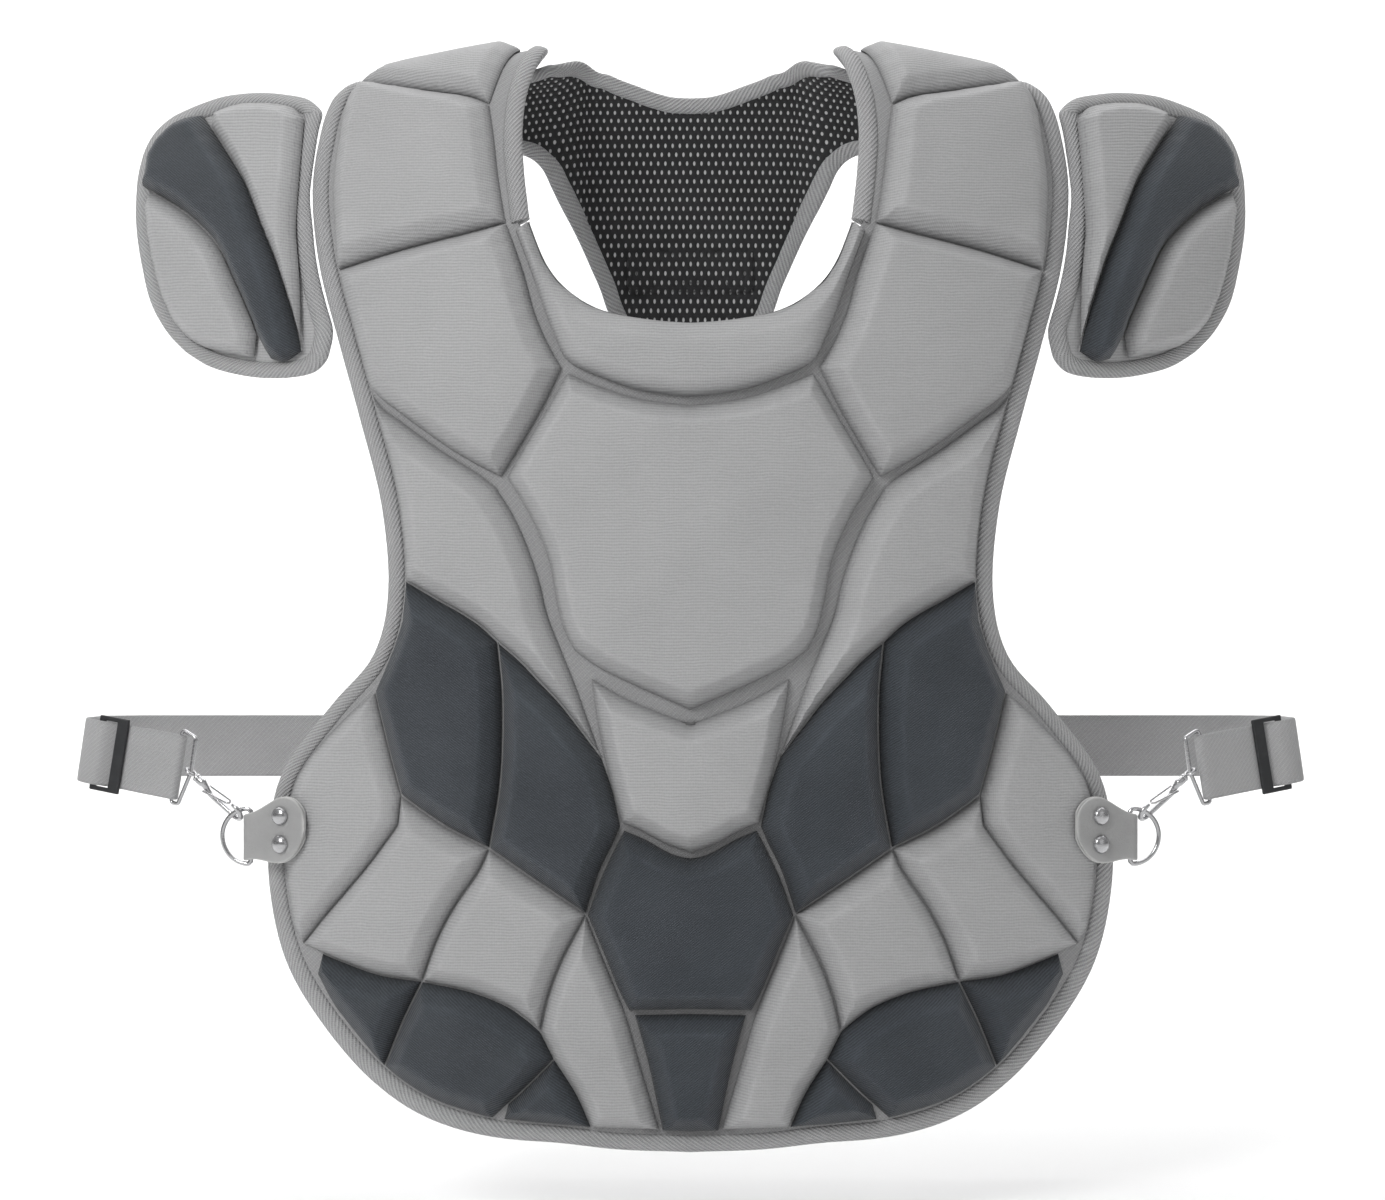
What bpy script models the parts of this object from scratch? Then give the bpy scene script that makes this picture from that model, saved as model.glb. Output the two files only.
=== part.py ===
"""A catcher's chest protector: a padded front, two shoulder caps, a yoke behind the neck and a waist strap.

Metres, +Z up. The front faces -Y, and +X is the right-hand side seen from the front.
The origin lies between the shoulders, at the level of the ridges that rest on them.
Points of the front are given as the front view shows them: how far across, as a share of HALF_WIDTH,
and how far down from the peak of the shoulders, as a share of BODY_HEIGHT.
"""
import math

import bpy
import numpy as np
from mathutils import Vector
from mathutils.geometry import delaunay_2d_cdt

# Overall form
HALF_WIDTH = 0.212
BODY_HEIGHT = 0.556
PEAK_LEVEL = 0.010
FLARE = 0.625            # the form widens by this share for each metre that it lies further back
FLARE_LEVEL = -0.270     # the height that the widening leaves alone
CHEST_FRONT = -0.075     # y of the flat of the chest
WRAP_DEPTH = 0.068       # how far back the widest point lies behind the breastbone
WRAP_POWER = 2.2
WRAP_RUN = 0.085         # the sides lie back by their full share from this far down the front
SHOULDER_RUN = 0.230     # length down the front from the ridge to where the chest stands upright
RIDGE_LEVEL = 0.008
RIDGE_START = 0.068      # half width of the neck, where the shoulders begin to slope
RIDGE_SLOPE = 0.208
RIDGE_SOFTNESS = 0.012
STRAP_BACK = 0.072       # length of the shoulder straps behind the ridge

# Thicknesses and clearances
PANEL_THICK = 0.004
PAD_SEAT = 0.0008        # between the panel and the pads sewn on it
SEAM_HALF = 0.0008       # from a pad's edge to the middle of its seam
BEVEL = 0.009            # width of the slope at a pad's edge
BINDING_WIDTH = 0.0092
BINDING_THICK = 0.0075
BINDING_MID = -0.0018    # height of the binding's middle over the panel's face
BINDING_GAP = 0.0005
YOKE_THICK = 0.006
YOKE_DROP = -0.0095      # middle of the yoke under the shoulder straps
YOKE_RISE = 0.0085       # how much higher it lies where the straps leave it free
CAP_GAP = 0.0021         # between a cap and the binding that it hangs on
CAP_SLOPE = 0.62
CAP_CURVE = 2.2
CAP_SEAT = 0.0023        # between a cap's shell and its pads

# Webbing and slider
WEB_WIDTH = 0.034
WEB_THICK = 0.0016
STRAP_SIDE = 0.3238      # x of the strap's runs along the flanks
STRAP_BACK_Y = 0.110
STRAP_LEVEL = -0.3512
STRAP_YAW = math.radians(25)
STRAP_LEAN = math.radians(9)
FRONT_CORNER = 0.014
BACK_CORNER = 0.022
FREE_END = 0.024         # length of the strap's end behind the front run
SLIDER_AT = 0.0305       # from the wire loop to the slider's wide bar
SLIDER_BAR = 0.0068
SLIDER_SLOT = 0.0080
SLIDER_RAIL = 0.0036
SLIDER_ARM = 0.0024
SLIDER_THICK = 0.0022
WEB_CLEARANCE = 0.0005

# Hardware
TAB_AT = (1.0075, 0.715)     # where the ring's straight bar lies, in the shares of the front view
TAB_LENGTH = 0.0270
TAB_FOLD_HALF = 0.0115
TAB_END_HALF = 0.0165
TAB_THICK = 0.0016
TAB_LEVEL = 0.0100           # height of the bar over the panel's face
RIVET_RADIUS = 0.0048
RIVET_HEIGHT = 0.0030
RIVET_IN = 0.0155            # from the ring's bar to the rivets
RIVET_APART = 0.0140
FIT_GAP = 0.0003
RING_RADIUS = 0.01435
RING_WIRE = 0.00125
RING_YAW = math.radians(14)
RING_BAR_OFFSET = 0.0015     # from the bar to the middle of the ring's round side
HOOK_ANGLE = math.radians(60)
HOOK_RISE = math.radians(35)
HOOK_SWEEP = math.radians(28)
HOOK_REACH = 0.0347          # from the wire of the ring to the middle of the hook's eye
HOOK_ROLL = math.radians(38)
HOOK_BEND = 0.0042
HOOK_BAR = 0.0015
HOOK_NOSE = 0.0013
HOOK_BARREL = 0.0023
EYE_RADIUS = 0.0029
EYE_WIRE = 0.0009
LOOP_WIRE = 0.0011
GATE_WIRE = 0.0006
GATE_HALF = 0.0026
GATE_PIVOT = (0.0225, -0.0020)   # from the ring's wire: along the hook, and across it
GATE_TIP = 0.0037

# Profile of the shoulders and chest: length down from the ridge as a share of SHOULDER_RUN,
# and the lean of the surface in degrees (0 faces the front, 90 faces up, 180 faces the back)
PROFILE = (
    (-0.90, 178), (-0.55, 172), (-0.33, 160), (-0.20, 140), (-0.09, 112), (0.00, 90),
    (0.065, 66), (0.13, 45), (0.22, 30), (0.35, 20), (0.52, 11), (0.74, 4),
    (1.00, 0), (1.75, 0), (2.20, -5), (2.60, -10),
)

# Outline of the front panel: across and down along the neck, from the middle up to the ridge
NECK_EDGE = (
    (0.000, 0.254), (0.072, 0.252), (0.131, 0.249), (0.178, 0.246), (0.213, 0.242), (0.249, 0.236), (0.279, 0.227),
    (0.308, 0.218), (0.329, 0.207), (0.348, 0.194), (0.362, 0.183), (0.374, 0.171), (0.383, 0.157), (0.388, 0.142),
    (0.393, 0.126), (0.397, 0.108), (0.400, 0.090), (0.397, 0.067), (0.388, 0.045), (0.367, 0.022), (0.338, 0.004),
)
NECK_BOUND = 12          # first point of the neck's edge that is bound; the neck band covers those before it

# The same along the outer edge, from the ridge down past the armhole and the flank to the middle of the hem
ARM_EDGE = (
    (0.815, 0.040), (0.848, 0.054), (0.874, 0.081), (0.895, 0.135), (0.879, 0.202), (0.831, 0.274), (0.782, 0.342),
    (0.732, 0.418), (0.716, 0.495),
)
HEM_EDGE = (
    (0.751, 0.553), (0.850, 0.598), (0.961, 0.655), (0.996, 0.706), (0.996, 0.764), (0.959, 0.827), (0.879, 0.881),
    (0.758, 0.935), (0.617, 0.971), (0.435, 0.989), (0.213, 0.997), (0.000, 1.001),
)

# Behind the ridge: across, and the share of STRAP_BACK behind it, from the neck side round to the outer side
BACK_EDGE = (
    (0.350, 0.28), (0.395, 0.62), (0.434, 0.86), (0.490, 1.00), (0.585, 1.02),
    (0.680, 1.00), (0.745, 0.86), (0.785, 0.62), (0.802, 0.28),
)

# Rows of the yoke: across and down at the upper edge and at the lower edge
YOKE_ROWS = (
    (0.000, 0.052, 0.000, 0.295),
    (0.044, 0.051, 0.084, 0.293),
    (0.084, 0.047, 0.138, 0.285),
    (0.119, 0.042, 0.166, 0.267),
    (0.162, 0.036, 0.195, 0.245),
    (0.192, 0.031, 0.213, 0.225),
    (0.221, 0.028, 0.237, 0.204),
    (0.256, 0.018, 0.272, 0.174),
    (0.284, 0.013, 0.308, 0.147),
    (0.308, 0.010, 0.327, 0.132),
    (0.338, 0.010, 0.350, 0.114),
    (0.379, 0.015, 0.383, 0.103),
    (0.426, 0.021, 0.430, 0.099),
    (0.496, 0.032, 0.496, 0.099),
    (0.555, 0.042, 0.555, 0.097),
)

# Seam lines of the front: across and down at each point
LINES = {
    "shoulder_seam": ((0.798, 0.045), (0.737, 0.042), (0.591, 0.048), (0.520, 0.052), (0.473, 0.059)),
    "shoulder_neck": ((0.473, 0.059), (0.463, 0.085), (0.452, 0.122), (0.440, 0.151), (0.433, 0.165)),
    "shoulder_foot": ((0.433, 0.165), (0.520, 0.174), (0.614, 0.183), (0.709, 0.193), (0.831, 0.208)),
    "shoulder_arm": ((0.831, 0.208), (0.838, 0.167), (0.841, 0.129), (0.829, 0.093), (0.817, 0.065), (0.798, 0.045)),
    "chest_arm": ((0.831, 0.208), (0.822, 0.234), (0.805, 0.265), (0.775, 0.295)),
    "chest_foot": ((0.775, 0.295), (0.744, 0.317), (0.685, 0.336), (0.591, 0.362), (0.520, 0.379), (0.445, 0.394)),
    "chest_inner": ((0.445, 0.394), (0.397, 0.364), (0.343, 0.328), (0.301, 0.295)),
    "chest_neck": ((0.301, 0.295), (0.338, 0.270), (0.367, 0.243), (0.390, 0.211), (0.414, 0.184), (0.433, 0.165)),
    "band_foot": (
        (0.412, 0.172), (0.374, 0.211), (0.343, 0.245), (0.317, 0.270),
        (0.289, 0.290), (0.213, 0.304), (0.119, 0.316), (0.000, 0.322),
    ),
    "band_end": ((0.379, 0.163), (0.412, 0.172)),
    "band_top": (
        (0.000, 0.254), (0.072, 0.252), (0.131, 0.249), (0.178, 0.246), (0.213, 0.242), (0.249, 0.236),
        (0.279, 0.227), (0.308, 0.218), (0.329, 0.207), (0.348, 0.194), (0.379, 0.163),
    ),
    "sternum_top": ((0.289, 0.299), (0.213, 0.311), (0.119, 0.322), (0.000, 0.328)),
    "sternum_upper": ((0.433, 0.394), (0.388, 0.364), (0.338, 0.332), (0.289, 0.299)),
    "sternum_lower": (
        (0.275, 0.549), (0.301, 0.529), (0.317, 0.504), (0.334, 0.469), (0.362, 0.441), (0.397, 0.416), (0.433, 0.394),
    ),
    "sternum_foot": ((0.000, 0.603), (0.143, 0.579), (0.225, 0.563), (0.275, 0.549)),
    "point_top": ((0.235, 0.573), (0.143, 0.593), (0.000, 0.615)),
    "point_side": ((0.162, 0.704), (0.185, 0.674), (0.206, 0.643), (0.223, 0.607), (0.235, 0.573)),
    "point_foot": ((0.000, 0.731), (0.060, 0.723), (0.119, 0.711), (0.162, 0.704)),
    "rib_top": ((0.765, 0.310), (0.721, 0.331), (0.685, 0.341), (0.591, 0.367), (0.496, 0.390), (0.456, 0.402)),
    "rib_inner": (
        (0.456, 0.402), (0.412, 0.430), (0.381, 0.457), (0.355, 0.486), (0.336, 0.517),
        (0.308, 0.544), (0.270, 0.580), (0.239, 0.613), (0.209, 0.645),
    ),
    "rib_foot_inner": ((0.209, 0.645), (0.261, 0.619), (0.308, 0.596), (0.355, 0.577), (0.402, 0.558), (0.454, 0.541)),
    "rib_foot_outer": ((0.454, 0.541), (0.496, 0.526), (0.544, 0.514), (0.591, 0.504), (0.671, 0.486)),
    "rib_arm": ((0.671, 0.486), (0.676, 0.450), (0.690, 0.414), (0.713, 0.369), (0.765, 0.310)),
    "dark_mid": ((0.454, 0.541), (0.442, 0.594), (0.447, 0.665), (0.473, 0.727)),
    "dark_outer_foot": ((0.473, 0.727), (0.567, 0.709), (0.638, 0.691), (0.680, 0.679)),
    "dark_outer_flank": ((0.680, 0.679), (0.709, 0.638), (0.742, 0.586)),
    "dark_outer_arm": ((0.742, 0.586), (0.702, 0.550), (0.678, 0.522), (0.671, 0.486)),
    "dark_inner_point": ((0.164, 0.707), (0.183, 0.674), (0.209, 0.645)),
    "dark_inner_belly": ((0.246, 0.786), (0.213, 0.748), (0.180, 0.722), (0.164, 0.707)),
    "dark_inner_foot": ((0.246, 0.786), (0.308, 0.770), (0.379, 0.752), (0.473, 0.727)),
    "belly_top": ((0.157, 0.710), (0.107, 0.718), (0.044, 0.731), (0.000, 0.736)),
    "belly_edge": ((0.157, 0.710), (0.180, 0.727), (0.213, 0.754), (0.244, 0.787)),
    "belly_side": ((0.244, 0.787), (0.209, 0.818), (0.171, 0.854), (0.145, 0.873)),
    "belly_foot": ((0.145, 0.873), (0.000, 0.872)),
    "tip_top": ((0.133, 0.876), (0.000, 0.875)),
    "tip_side": ((0.133, 0.876), (0.100, 0.922), (0.067, 0.981)),
    "tip_foot": ((0.067, 0.981), (0.000, 0.982)),
    "flank_top": ((0.798, 0.604), (0.742, 0.586)),
    "flank_lower": ((0.680, 0.679), (0.688, 0.706), (0.751, 0.739), (0.810, 0.766), (0.862, 0.789), (0.912, 0.813)),
    "flank_foot": ((0.912, 0.813), (0.936, 0.796)),
    "flank_outer": (
        (0.936, 0.796), (0.942, 0.778), (0.952, 0.746), (0.954, 0.710),
        (0.942, 0.674), (0.907, 0.650), (0.853, 0.626), (0.798, 0.604),
    ),
    "side_mid": ((0.631, 0.846), (0.596, 0.809), (0.553, 0.778), (0.499, 0.748), (0.473, 0.727)),
    "side_foot_outer": ((0.912, 0.813), (0.827, 0.827), (0.732, 0.840), (0.631, 0.846)),
    "side_foot_inner": ((0.631, 0.846), (0.520, 0.855), (0.438, 0.867), (0.390, 0.879), (0.353, 0.891)),
    "side_inner": ((0.353, 0.891), (0.334, 0.859), (0.301, 0.826), (0.246, 0.786)),
    "groin_inner": ((0.072, 0.980), (0.114, 0.926), (0.154, 0.874), (0.209, 0.822), (0.246, 0.786)),
    "groin_foot": ((0.232, 0.978), (0.072, 0.980)),
    "groin_upper": ((0.353, 0.891), (0.320, 0.916)),
    "groin_lower": ((0.320, 0.916), (0.268, 0.947), (0.232, 0.978)),
    "hem_outer_side": ((0.721, 0.924), (0.678, 0.883), (0.631, 0.846)),
    "hem_outer_top": ((0.866, 0.821), (0.827, 0.827), (0.732, 0.840), (0.631, 0.846)),
    "hem_outer_low": ((0.721, 0.924), (0.780, 0.897), (0.835, 0.870), (0.862, 0.852), (0.878, 0.840)),
    "hem_outer_tip": ((0.878, 0.840), (0.866, 0.821)),
    "hem_inner_side": ((0.468, 0.970), (0.388, 0.942), (0.320, 0.916)),
    "hem_middle_foot": ((0.721, 0.924), (0.673, 0.938), (0.591, 0.955), (0.468, 0.970)),
    "hem_inner_foot": ((0.232, 0.978), (0.355, 0.974), (0.440, 0.970)),
    "hem_inner_tip": ((0.440, 0.970), (0.430, 0.9565)),
    "hem_inner_arm": ((0.430, 0.9565), (0.388, 0.942), (0.320, 0.916)),
}

# Pads on both sides: finish, height, and their four sides, each a chain of seam lines ("-" runs it backwards)
SIDE_PADS = {
    "shoulder_pad": ("grey", 0.0110, ("shoulder_seam",), ("shoulder_neck",), ("shoulder_foot",), ("shoulder_arm",)),
    "upper_chest": ("grey", 0.0125, ("chest_arm", "chest_foot"), ("chest_inner",), ("chest_neck",), ("shoulder_foot",)),
    "rib_pad": ("grey", 0.0115, ("rib_top",), ("rib_inner",), ("rib_foot_inner", "rib_foot_outer"), ("rib_arm",)),
    "dark_outer": (
        "slate", 0.0120, ("-rib_foot_outer",), ("dark_mid",), ("dark_outer_foot",), ("dark_outer_flank", "dark_outer_arm"),
    ),
    "dark_inner": (
        "slate", 0.0125, ("-rib_foot_inner",), ("-dark_inner_point", "-dark_inner_belly"), ("dark_inner_foot",), ("-dark_mid",),
    ),
    "flank_pad": ("grey", 0.0070, ("flank_top",), ("-dark_outer_flank", "flank_lower"), ("flank_foot",), ("flank_outer",)),
    "side_outer": ("grey", 0.0105, ("-dark_outer_foot",), ("-side_mid",), ("-side_foot_outer",), ("-flank_lower",)),
    "side_inner": ("grey", 0.0105, ("-dark_inner_foot",), ("-side_inner",), ("-side_foot_inner",), ("side_mid",)),
    "groin_pad": ("grey", 0.0100, ("-groin_inner",), ("-groin_foot",), ("-groin_lower", "-groin_upper"), ("side_inner",)),
    "hem_outer": ("slate", 0.0100, ("hem_outer_top",), ("-hem_outer_side",), ("hem_outer_low",), ("hem_outer_tip",)),
    "hem_middle": (
        "slate", 0.0100, ("side_foot_inner", "groin_upper"), ("-hem_inner_side",), ("-hem_middle_foot",), ("hem_outer_side",),
    ),
    "hem_inner": ("slate", 0.0095, ("groin_lower",), ("hem_inner_foot",), ("hem_inner_tip",), ("hem_inner_arm",)),
}

# Pads across the middle: finish, height, and the half lines of the top, the side from top to foot, and the foot
CENTRE_PADS = {
    "neck_band": ("grey", 0.0115, ("band_top",), ("band_end",), ("band_foot",)),
    "sternum_pad": ("grey", 0.0135, ("sternum_top",), ("-sternum_upper", "-sternum_lower"), ("sternum_foot",)),
    "sternum_point": ("grey", 0.0125, ("point_top",), ("-point_side",), ("point_foot",)),
    "belly_pad": ("slate", 0.0120, ("belly_top",), ("belly_edge", "belly_side"), ("belly_foot",)),
    "belly_tip": ("slate", 0.0100, ("tip_top",), ("tip_side",), ("tip_foot",)),
}

# Pad over the ridge of a shoulder: across, and length down from the ridge as a share of SHOULDER_RUN
RIDGE_NECK = ((0.435, 0.085), (0.398, 0.000), (0.405, -0.087), (0.452, -0.180), (0.500, -0.235))
RIDGE_ARM = ((0.680, -0.235), (0.728, -0.180), (0.745, -0.087), (0.758, 0.000))
RIDGE_PAD_HEIGHT = 0.0075

# Outline and seams of a shoulder cap, in the front view's shares
CAP_LINES = {
    "top": ((0.871, 0.063), (0.904, 0.052), (0.952, 0.048), (1.018, 0.046), (1.100, 0.049), (1.171, 0.058), (1.223, 0.067)),
    "outer": (
        (1.223, 0.067), (1.258, 0.078), (1.287, 0.094), (1.305, 0.116), (1.312, 0.138),
        (1.312, 0.169), (1.298, 0.205), (1.277, 0.237), (1.239, 0.263), (1.195, 0.281),
    ),
    "foot": ((1.195, 0.281), (1.138, 0.294), (1.072, 0.301), (1.008, 0.304), (0.938, 0.303), (0.890, 0.298), (0.862, 0.287)),
    "bar_outer": (
        (1.287, 0.133), (1.239, 0.143), (1.185, 0.156), (1.133, 0.174), (1.100, 0.191),
        (1.072, 0.214), (1.034, 0.246), (1.008, 0.271), (0.982, 0.288),
    ),
    "bar_foot": ((0.982, 0.288), (0.947, 0.290), (0.909, 0.281)),
    "bar_inner": (
        (0.909, 0.281), (0.923, 0.258), (0.947, 0.228), (0.975, 0.196), (1.008, 0.165),
        (1.032, 0.141), (1.053, 0.123), (1.100, 0.094), (1.143, 0.069),
    ),
    "bar_top": ((1.143, 0.069), (1.195, 0.073), (1.239, 0.085), (1.272, 0.103), (1.287, 0.133)),
    "cell_top": ((1.120, 0.067), (1.062, 0.059), (0.989, 0.058), (0.933, 0.062), (0.904, 0.073)),
    "cell_arm": ((0.904, 0.073), (0.914, 0.116), (0.923, 0.169), (0.915, 0.214), (0.909, 0.281)),
    "cell_bar": (
        (0.909, 0.281), (0.923, 0.258), (0.947, 0.228), (0.975, 0.196), (1.008, 0.165),
        (1.032, 0.141), (1.053, 0.123), (1.100, 0.094), (1.125, 0.080),
    ),
    "cell_tip": ((1.125, 0.080), (1.120, 0.067)),
    "edge_bar": (
        (1.015, 0.266), (1.034, 0.246), (1.072, 0.214), (1.100, 0.191),
        (1.133, 0.174), (1.185, 0.156), (1.239, 0.143), (1.268, 0.137),
    ),
    "edge_tip": ((1.268, 0.137), (1.281, 0.150)),
    "edge_out": (
        (1.281, 0.150), (1.279, 0.162), (1.263, 0.200), (1.237, 0.234),
        (1.204, 0.258), (1.147, 0.276), (1.053, 0.285), (1.022, 0.287),
    ),
    "edge_low": ((1.022, 0.287), (1.015, 0.266)),
}
CAP_JOINT_DOWN = (0.262, 0.240, 0.215, 0.190, 0.165, 0.140, 0.115, 0.095, 0.080)
CAP_PADS = {
    "cap_bar": ("slate", 0.0095, ("bar_outer",), ("bar_foot",), ("bar_inner",), ("bar_top",)),
    "cap_inner": ("grey", 0.0080, ("cell_top",), ("cell_arm",), ("cell_bar",), ("cell_tip",)),
    "cap_outer": ("grey", 0.0080, ("edge_bar",), ("edge_tip",), ("edge_out",), ("edge_low",)),
}
CAP_RIM_WIDTH = 0.0085
CAP_RIM_RISE = 0.0013

# Corners of the wire loop, from the middle of the hook's eye: away from the eye, and along the held side
LOOP_CORNERS = ((0.0000, 0.0000), (0.0003, 0.0182), (0.0094, 0.0213), (0.0094, -0.0176), (0.0050, -0.0176))
LOOP_BENDS = (0.003, 0.002, 0.0018, 0.0015, 0.0015)
STRAP_SHARE = 0.514      # where the strap's middle lies along the held side

# How finely the surfaces are divided
PAD_STEPS = (0.0, 0.12, 0.37, 0.63, 0.88, 1.0)
LONG_STEPS = (0.0, 0.06, 0.18, 0.30, 0.43, 0.57, 0.70, 0.82, 0.94, 1.0)
PANEL_CELL = 0.025       # spacing of the points inside the panel
BEND_STEPS = 4
WIRE_SIDES = 6

# Colour, roughness and metallic value of each finish
FINISHES = {
    "grey": ((0.40, 0.40, 0.41), 0.75, 0.0),
    "slate": ((0.045, 0.053, 0.062), 0.70, 0.0),
    "mesh": ((0.015, 0.015, 0.016), 0.85, 0.0),
    "webbing": ((0.30, 0.30, 0.31), 0.80, 0.0),
    "leather": ((0.38, 0.38, 0.38), 0.55, 0.0),
    "black_plastic": ((0.03, 0.03, 0.033), 0.50, 0.0),
    "chrome": ((0.75, 0.75, 0.76), 0.18, 1.0),
}

SIDES = {"left": -1.0, "right": 1.0}


def clear_scene():
    """Removes whatever the scene holds."""
    for item in list(bpy.data.objects):
        bpy.data.objects.remove(item, do_unlink=True)


def integrate_profile():
    """Walks the profile in small steps and returns its length, drop and depth at each."""
    table = np.array(PROFILE)
    run = np.arange(table[0, 0], table[-1, 0], 0.002) * SHOULDER_RUN
    lean = np.radians(np.interp(run / SHOULDER_RUN, table[:, 0], table[:, 1]))
    step = run[1] - run[0]
    drop = np.cumsum(np.cos(lean)) * step
    depth = -np.cumsum(np.sin(lean)) * step
    drop = drop - np.interp(0.0, run, drop)
    depth = depth - np.interp(SHOULDER_RUN, run, depth)
    return run, drop, depth


RUN, DROP, DEPTH = integrate_profile()


def ridge(across):
    """Height of the shoulder ridge, as the front view shows it, at a distance from the middle."""
    past = np.abs(across) - RIDGE_START
    return RIDGE_LEVEL - RIDGE_SLOPE * 0.5 * (past + np.sqrt(past**2 + RIDGE_SOFTNESS**2))


def place(across, level, depth):
    """Turns a distance across and a level of the front view, and a depth, into a point of the flared form."""
    spread = 1.0 + FLARE * depth
    return np.stack([across * spread, CHEST_FRONT + depth, FLARE_LEVEL + (level - FLARE_LEVEL) * spread], axis=-1)


def body_base(across, run):
    """Points of the chest, shoulders and back: across, and length down from the ridge."""
    drop = np.interp(run, RUN, DROP)
    share = np.clip((run + WRAP_RUN) / (2 * WRAP_RUN), 0.0, 1.0)
    share = share * share * (3 - 2 * share)
    wrap = WRAP_DEPTH * (np.abs(across) / HALF_WIDTH) ** WRAP_POWER * share
    return place(across, ridge(across) - drop, np.interp(run, RUN, DEPTH) + wrap)


def raised(base, across, down, out):
    """Points at a height over a surface, along its own normals."""
    reach = 0.0005
    along_across = base(across + reach, down) - base(across - reach, down)
    along_down = base(across, down + reach) - base(across, down - reach)
    normal = np.cross(along_down, along_across)
    normal /= np.linalg.norm(normal, axis=-1, keepdims=True)
    return base(across, down) + normal * np.asarray(out)[..., None]


def seat(points, behind=False):
    """Front-view shares to the body's own lengths: metres across, and length down from the ridge."""
    points = np.array(points, dtype=float)
    across = points[:, 0] * HALF_WIDTH
    drop = ridge(across) - (PEAK_LEVEL - points[:, 1] * BODY_HEIGHT)
    side = RUN < 0 if behind else RUN > 0
    run = np.interp(np.maximum(drop, 0.0), np.sort(DROP[side]), RUN[side][np.argsort(DROP[side])])
    return np.stack([across, run], axis=-1)


def fit_armhole():
    """The armhole's edge: its levels and distances across, and smooth curves of its depth and distance across."""
    across, down = np.array(ARM_EDGE).T
    points = seat(ARM_EDGE)
    depth = body_base(points[:, 0], points[:, 1])[:, 1] - CHEST_FRONT
    level = PEAK_LEVEL - down * BODY_HEIGHT
    return level, across * HALF_WIDTH, np.polyfit(level, depth, 3), np.polyfit(level, across * HALF_WIDTH, 3)


EDGE_LEVEL, EDGE_ACROSS, EDGE_DEPTH, EDGE_LINE = fit_armhole()


def cap_base(across, down):
    """Points of a shoulder cap, which goes on from the armhole's edge and turns back round the arm."""
    level = -down
    past = across - np.polyval(EDGE_LINE, level)
    depth = np.polyval(EDGE_DEPTH, level) + CAP_SLOPE * past + CAP_CURVE * past * np.abs(past)
    return place(across, level, depth)


def cap_seat(points):
    """Front-view shares to metres across and down for a cap."""
    points = np.array(points, dtype=float)
    return np.stack([points[:, 0] * HALF_WIDTH, points[:, 1] * BODY_HEIGHT - PEAK_LEVEL], axis=-1)


def mirrored(points, side):
    """Points with their x turned to one side of the body."""
    return points * np.array([side, 1.0, 1.0])


def finish_material(name, finish):
    """A material of its own for one piece."""
    colour, roughness, metallic = FINISHES[finish]
    material = bpy.data.materials.new(name + "_finish")
    material.use_nodes = True
    shader = material.node_tree.nodes["Principled BSDF"]
    shader.inputs["Base Color"].default_value = (*colour, 1.0)
    shader.inputs["Roughness"].default_value = roughness
    shader.inputs["Metallic"].default_value = metallic
    return material


def split(points, face):
    """A quad as two triangles; any other face as it is."""
    if len(face) != 4:
        return [tuple(face)]
    a, b, c, d = face
    if np.linalg.norm(points[a] - points[c]) <= np.linalg.norm(points[b] - points[d]):
        return [(a, b, c), (a, c, d)]
    return [(a, b, d), (b, c, d)]


def add_body(name, points, faces, finish):
    """Makes a closed body from points and faces, turned outwards, with its quads split at their shorter diagonal."""
    points = np.asarray(points, dtype=float)
    faces = [piece for face in faces for piece in split(points, face)]
    volume = 0.0
    for face in faces:
        corner = points[face[0]]
        for one, two in zip(face[1:-1], face[2:]):
            volume += np.dot(corner, np.cross(points[one], points[two]))
    if volume < 0:
        faces = [tuple(reversed(face)) for face in faces]
    mesh = bpy.data.meshes.new(name)
    mesh.from_pydata(points.tolist(), [], faces)
    mesh.shade_smooth()
    mesh.set_sharp_from_angle(angle=math.radians(40))
    item = bpy.data.objects.new(name, mesh)
    item.data.materials.append(finish_material(name, finish))
    bpy.context.scene.collection.objects.link(item)
    return item


def fan(quad, start, step):
    """One of the two triangles of a quad that is split along the diagonal from its start corner."""
    return tuple(quad[(start + k) % 4] for k in (0, step, step + 1))


def slab(name, top, bottom, finish, sharp_edge=False):
    """A body between two grids of points; with a sharp edge the two share their border."""
    rows, columns = top.shape[:2]
    upper = np.arange(rows * columns).reshape(rows, columns)
    lower = upper + rows * columns
    if sharp_edge:
        lower[[0, -1], :] = upper[[0, -1], :]
        lower[:, [0, -1]] = upper[:, [0, -1]]
    faces = []
    for i in range(rows - 1):
        for j in range(columns - 1):
            for layer, turn in ((upper, 1), (lower, -1)):
                quad = [layer[i, j], layer[i, j + 1], layer[i + 1, j + 1], layer[i + 1, j]][::turn]
                if (i, j) in ((0, 0), (rows - 2, columns - 2)):
                    start = quad.index(layer[i, j])
                    faces += [fan(quad, start, 1), fan(quad, start, 2)]
                elif (i, j) in ((0, columns - 2), (rows - 2, 0)):
                    start = quad.index(layer[i, j + 1])
                    faces += [fan(quad, start, 1), fan(quad, start, 2)]
                else:
                    faces.append(tuple(quad))
    if not sharp_edge:
        border = [(0, j) for j in range(columns)] + [(i, columns - 1) for i in range(1, rows)]
        border += [(rows - 1, j) for j in range(columns - 2, -1, -1)] + [(i, 0) for i in range(rows - 2, 0, -1)]
        for one, two in zip(border, border[1:] + border[:1]):
            faces.append((upper[one], lower[one], lower[two], upper[two]))
    points = np.concatenate([top.reshape(-1, 3), bottom.reshape(-1, 3)])
    used = np.unique(np.concatenate([np.array(face) for face in faces]))
    order = {int(old): new for new, old in enumerate(used)}
    return add_body(name, points[used], [tuple(order[int(i)] for i in face) for face in faces], finish)


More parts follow.
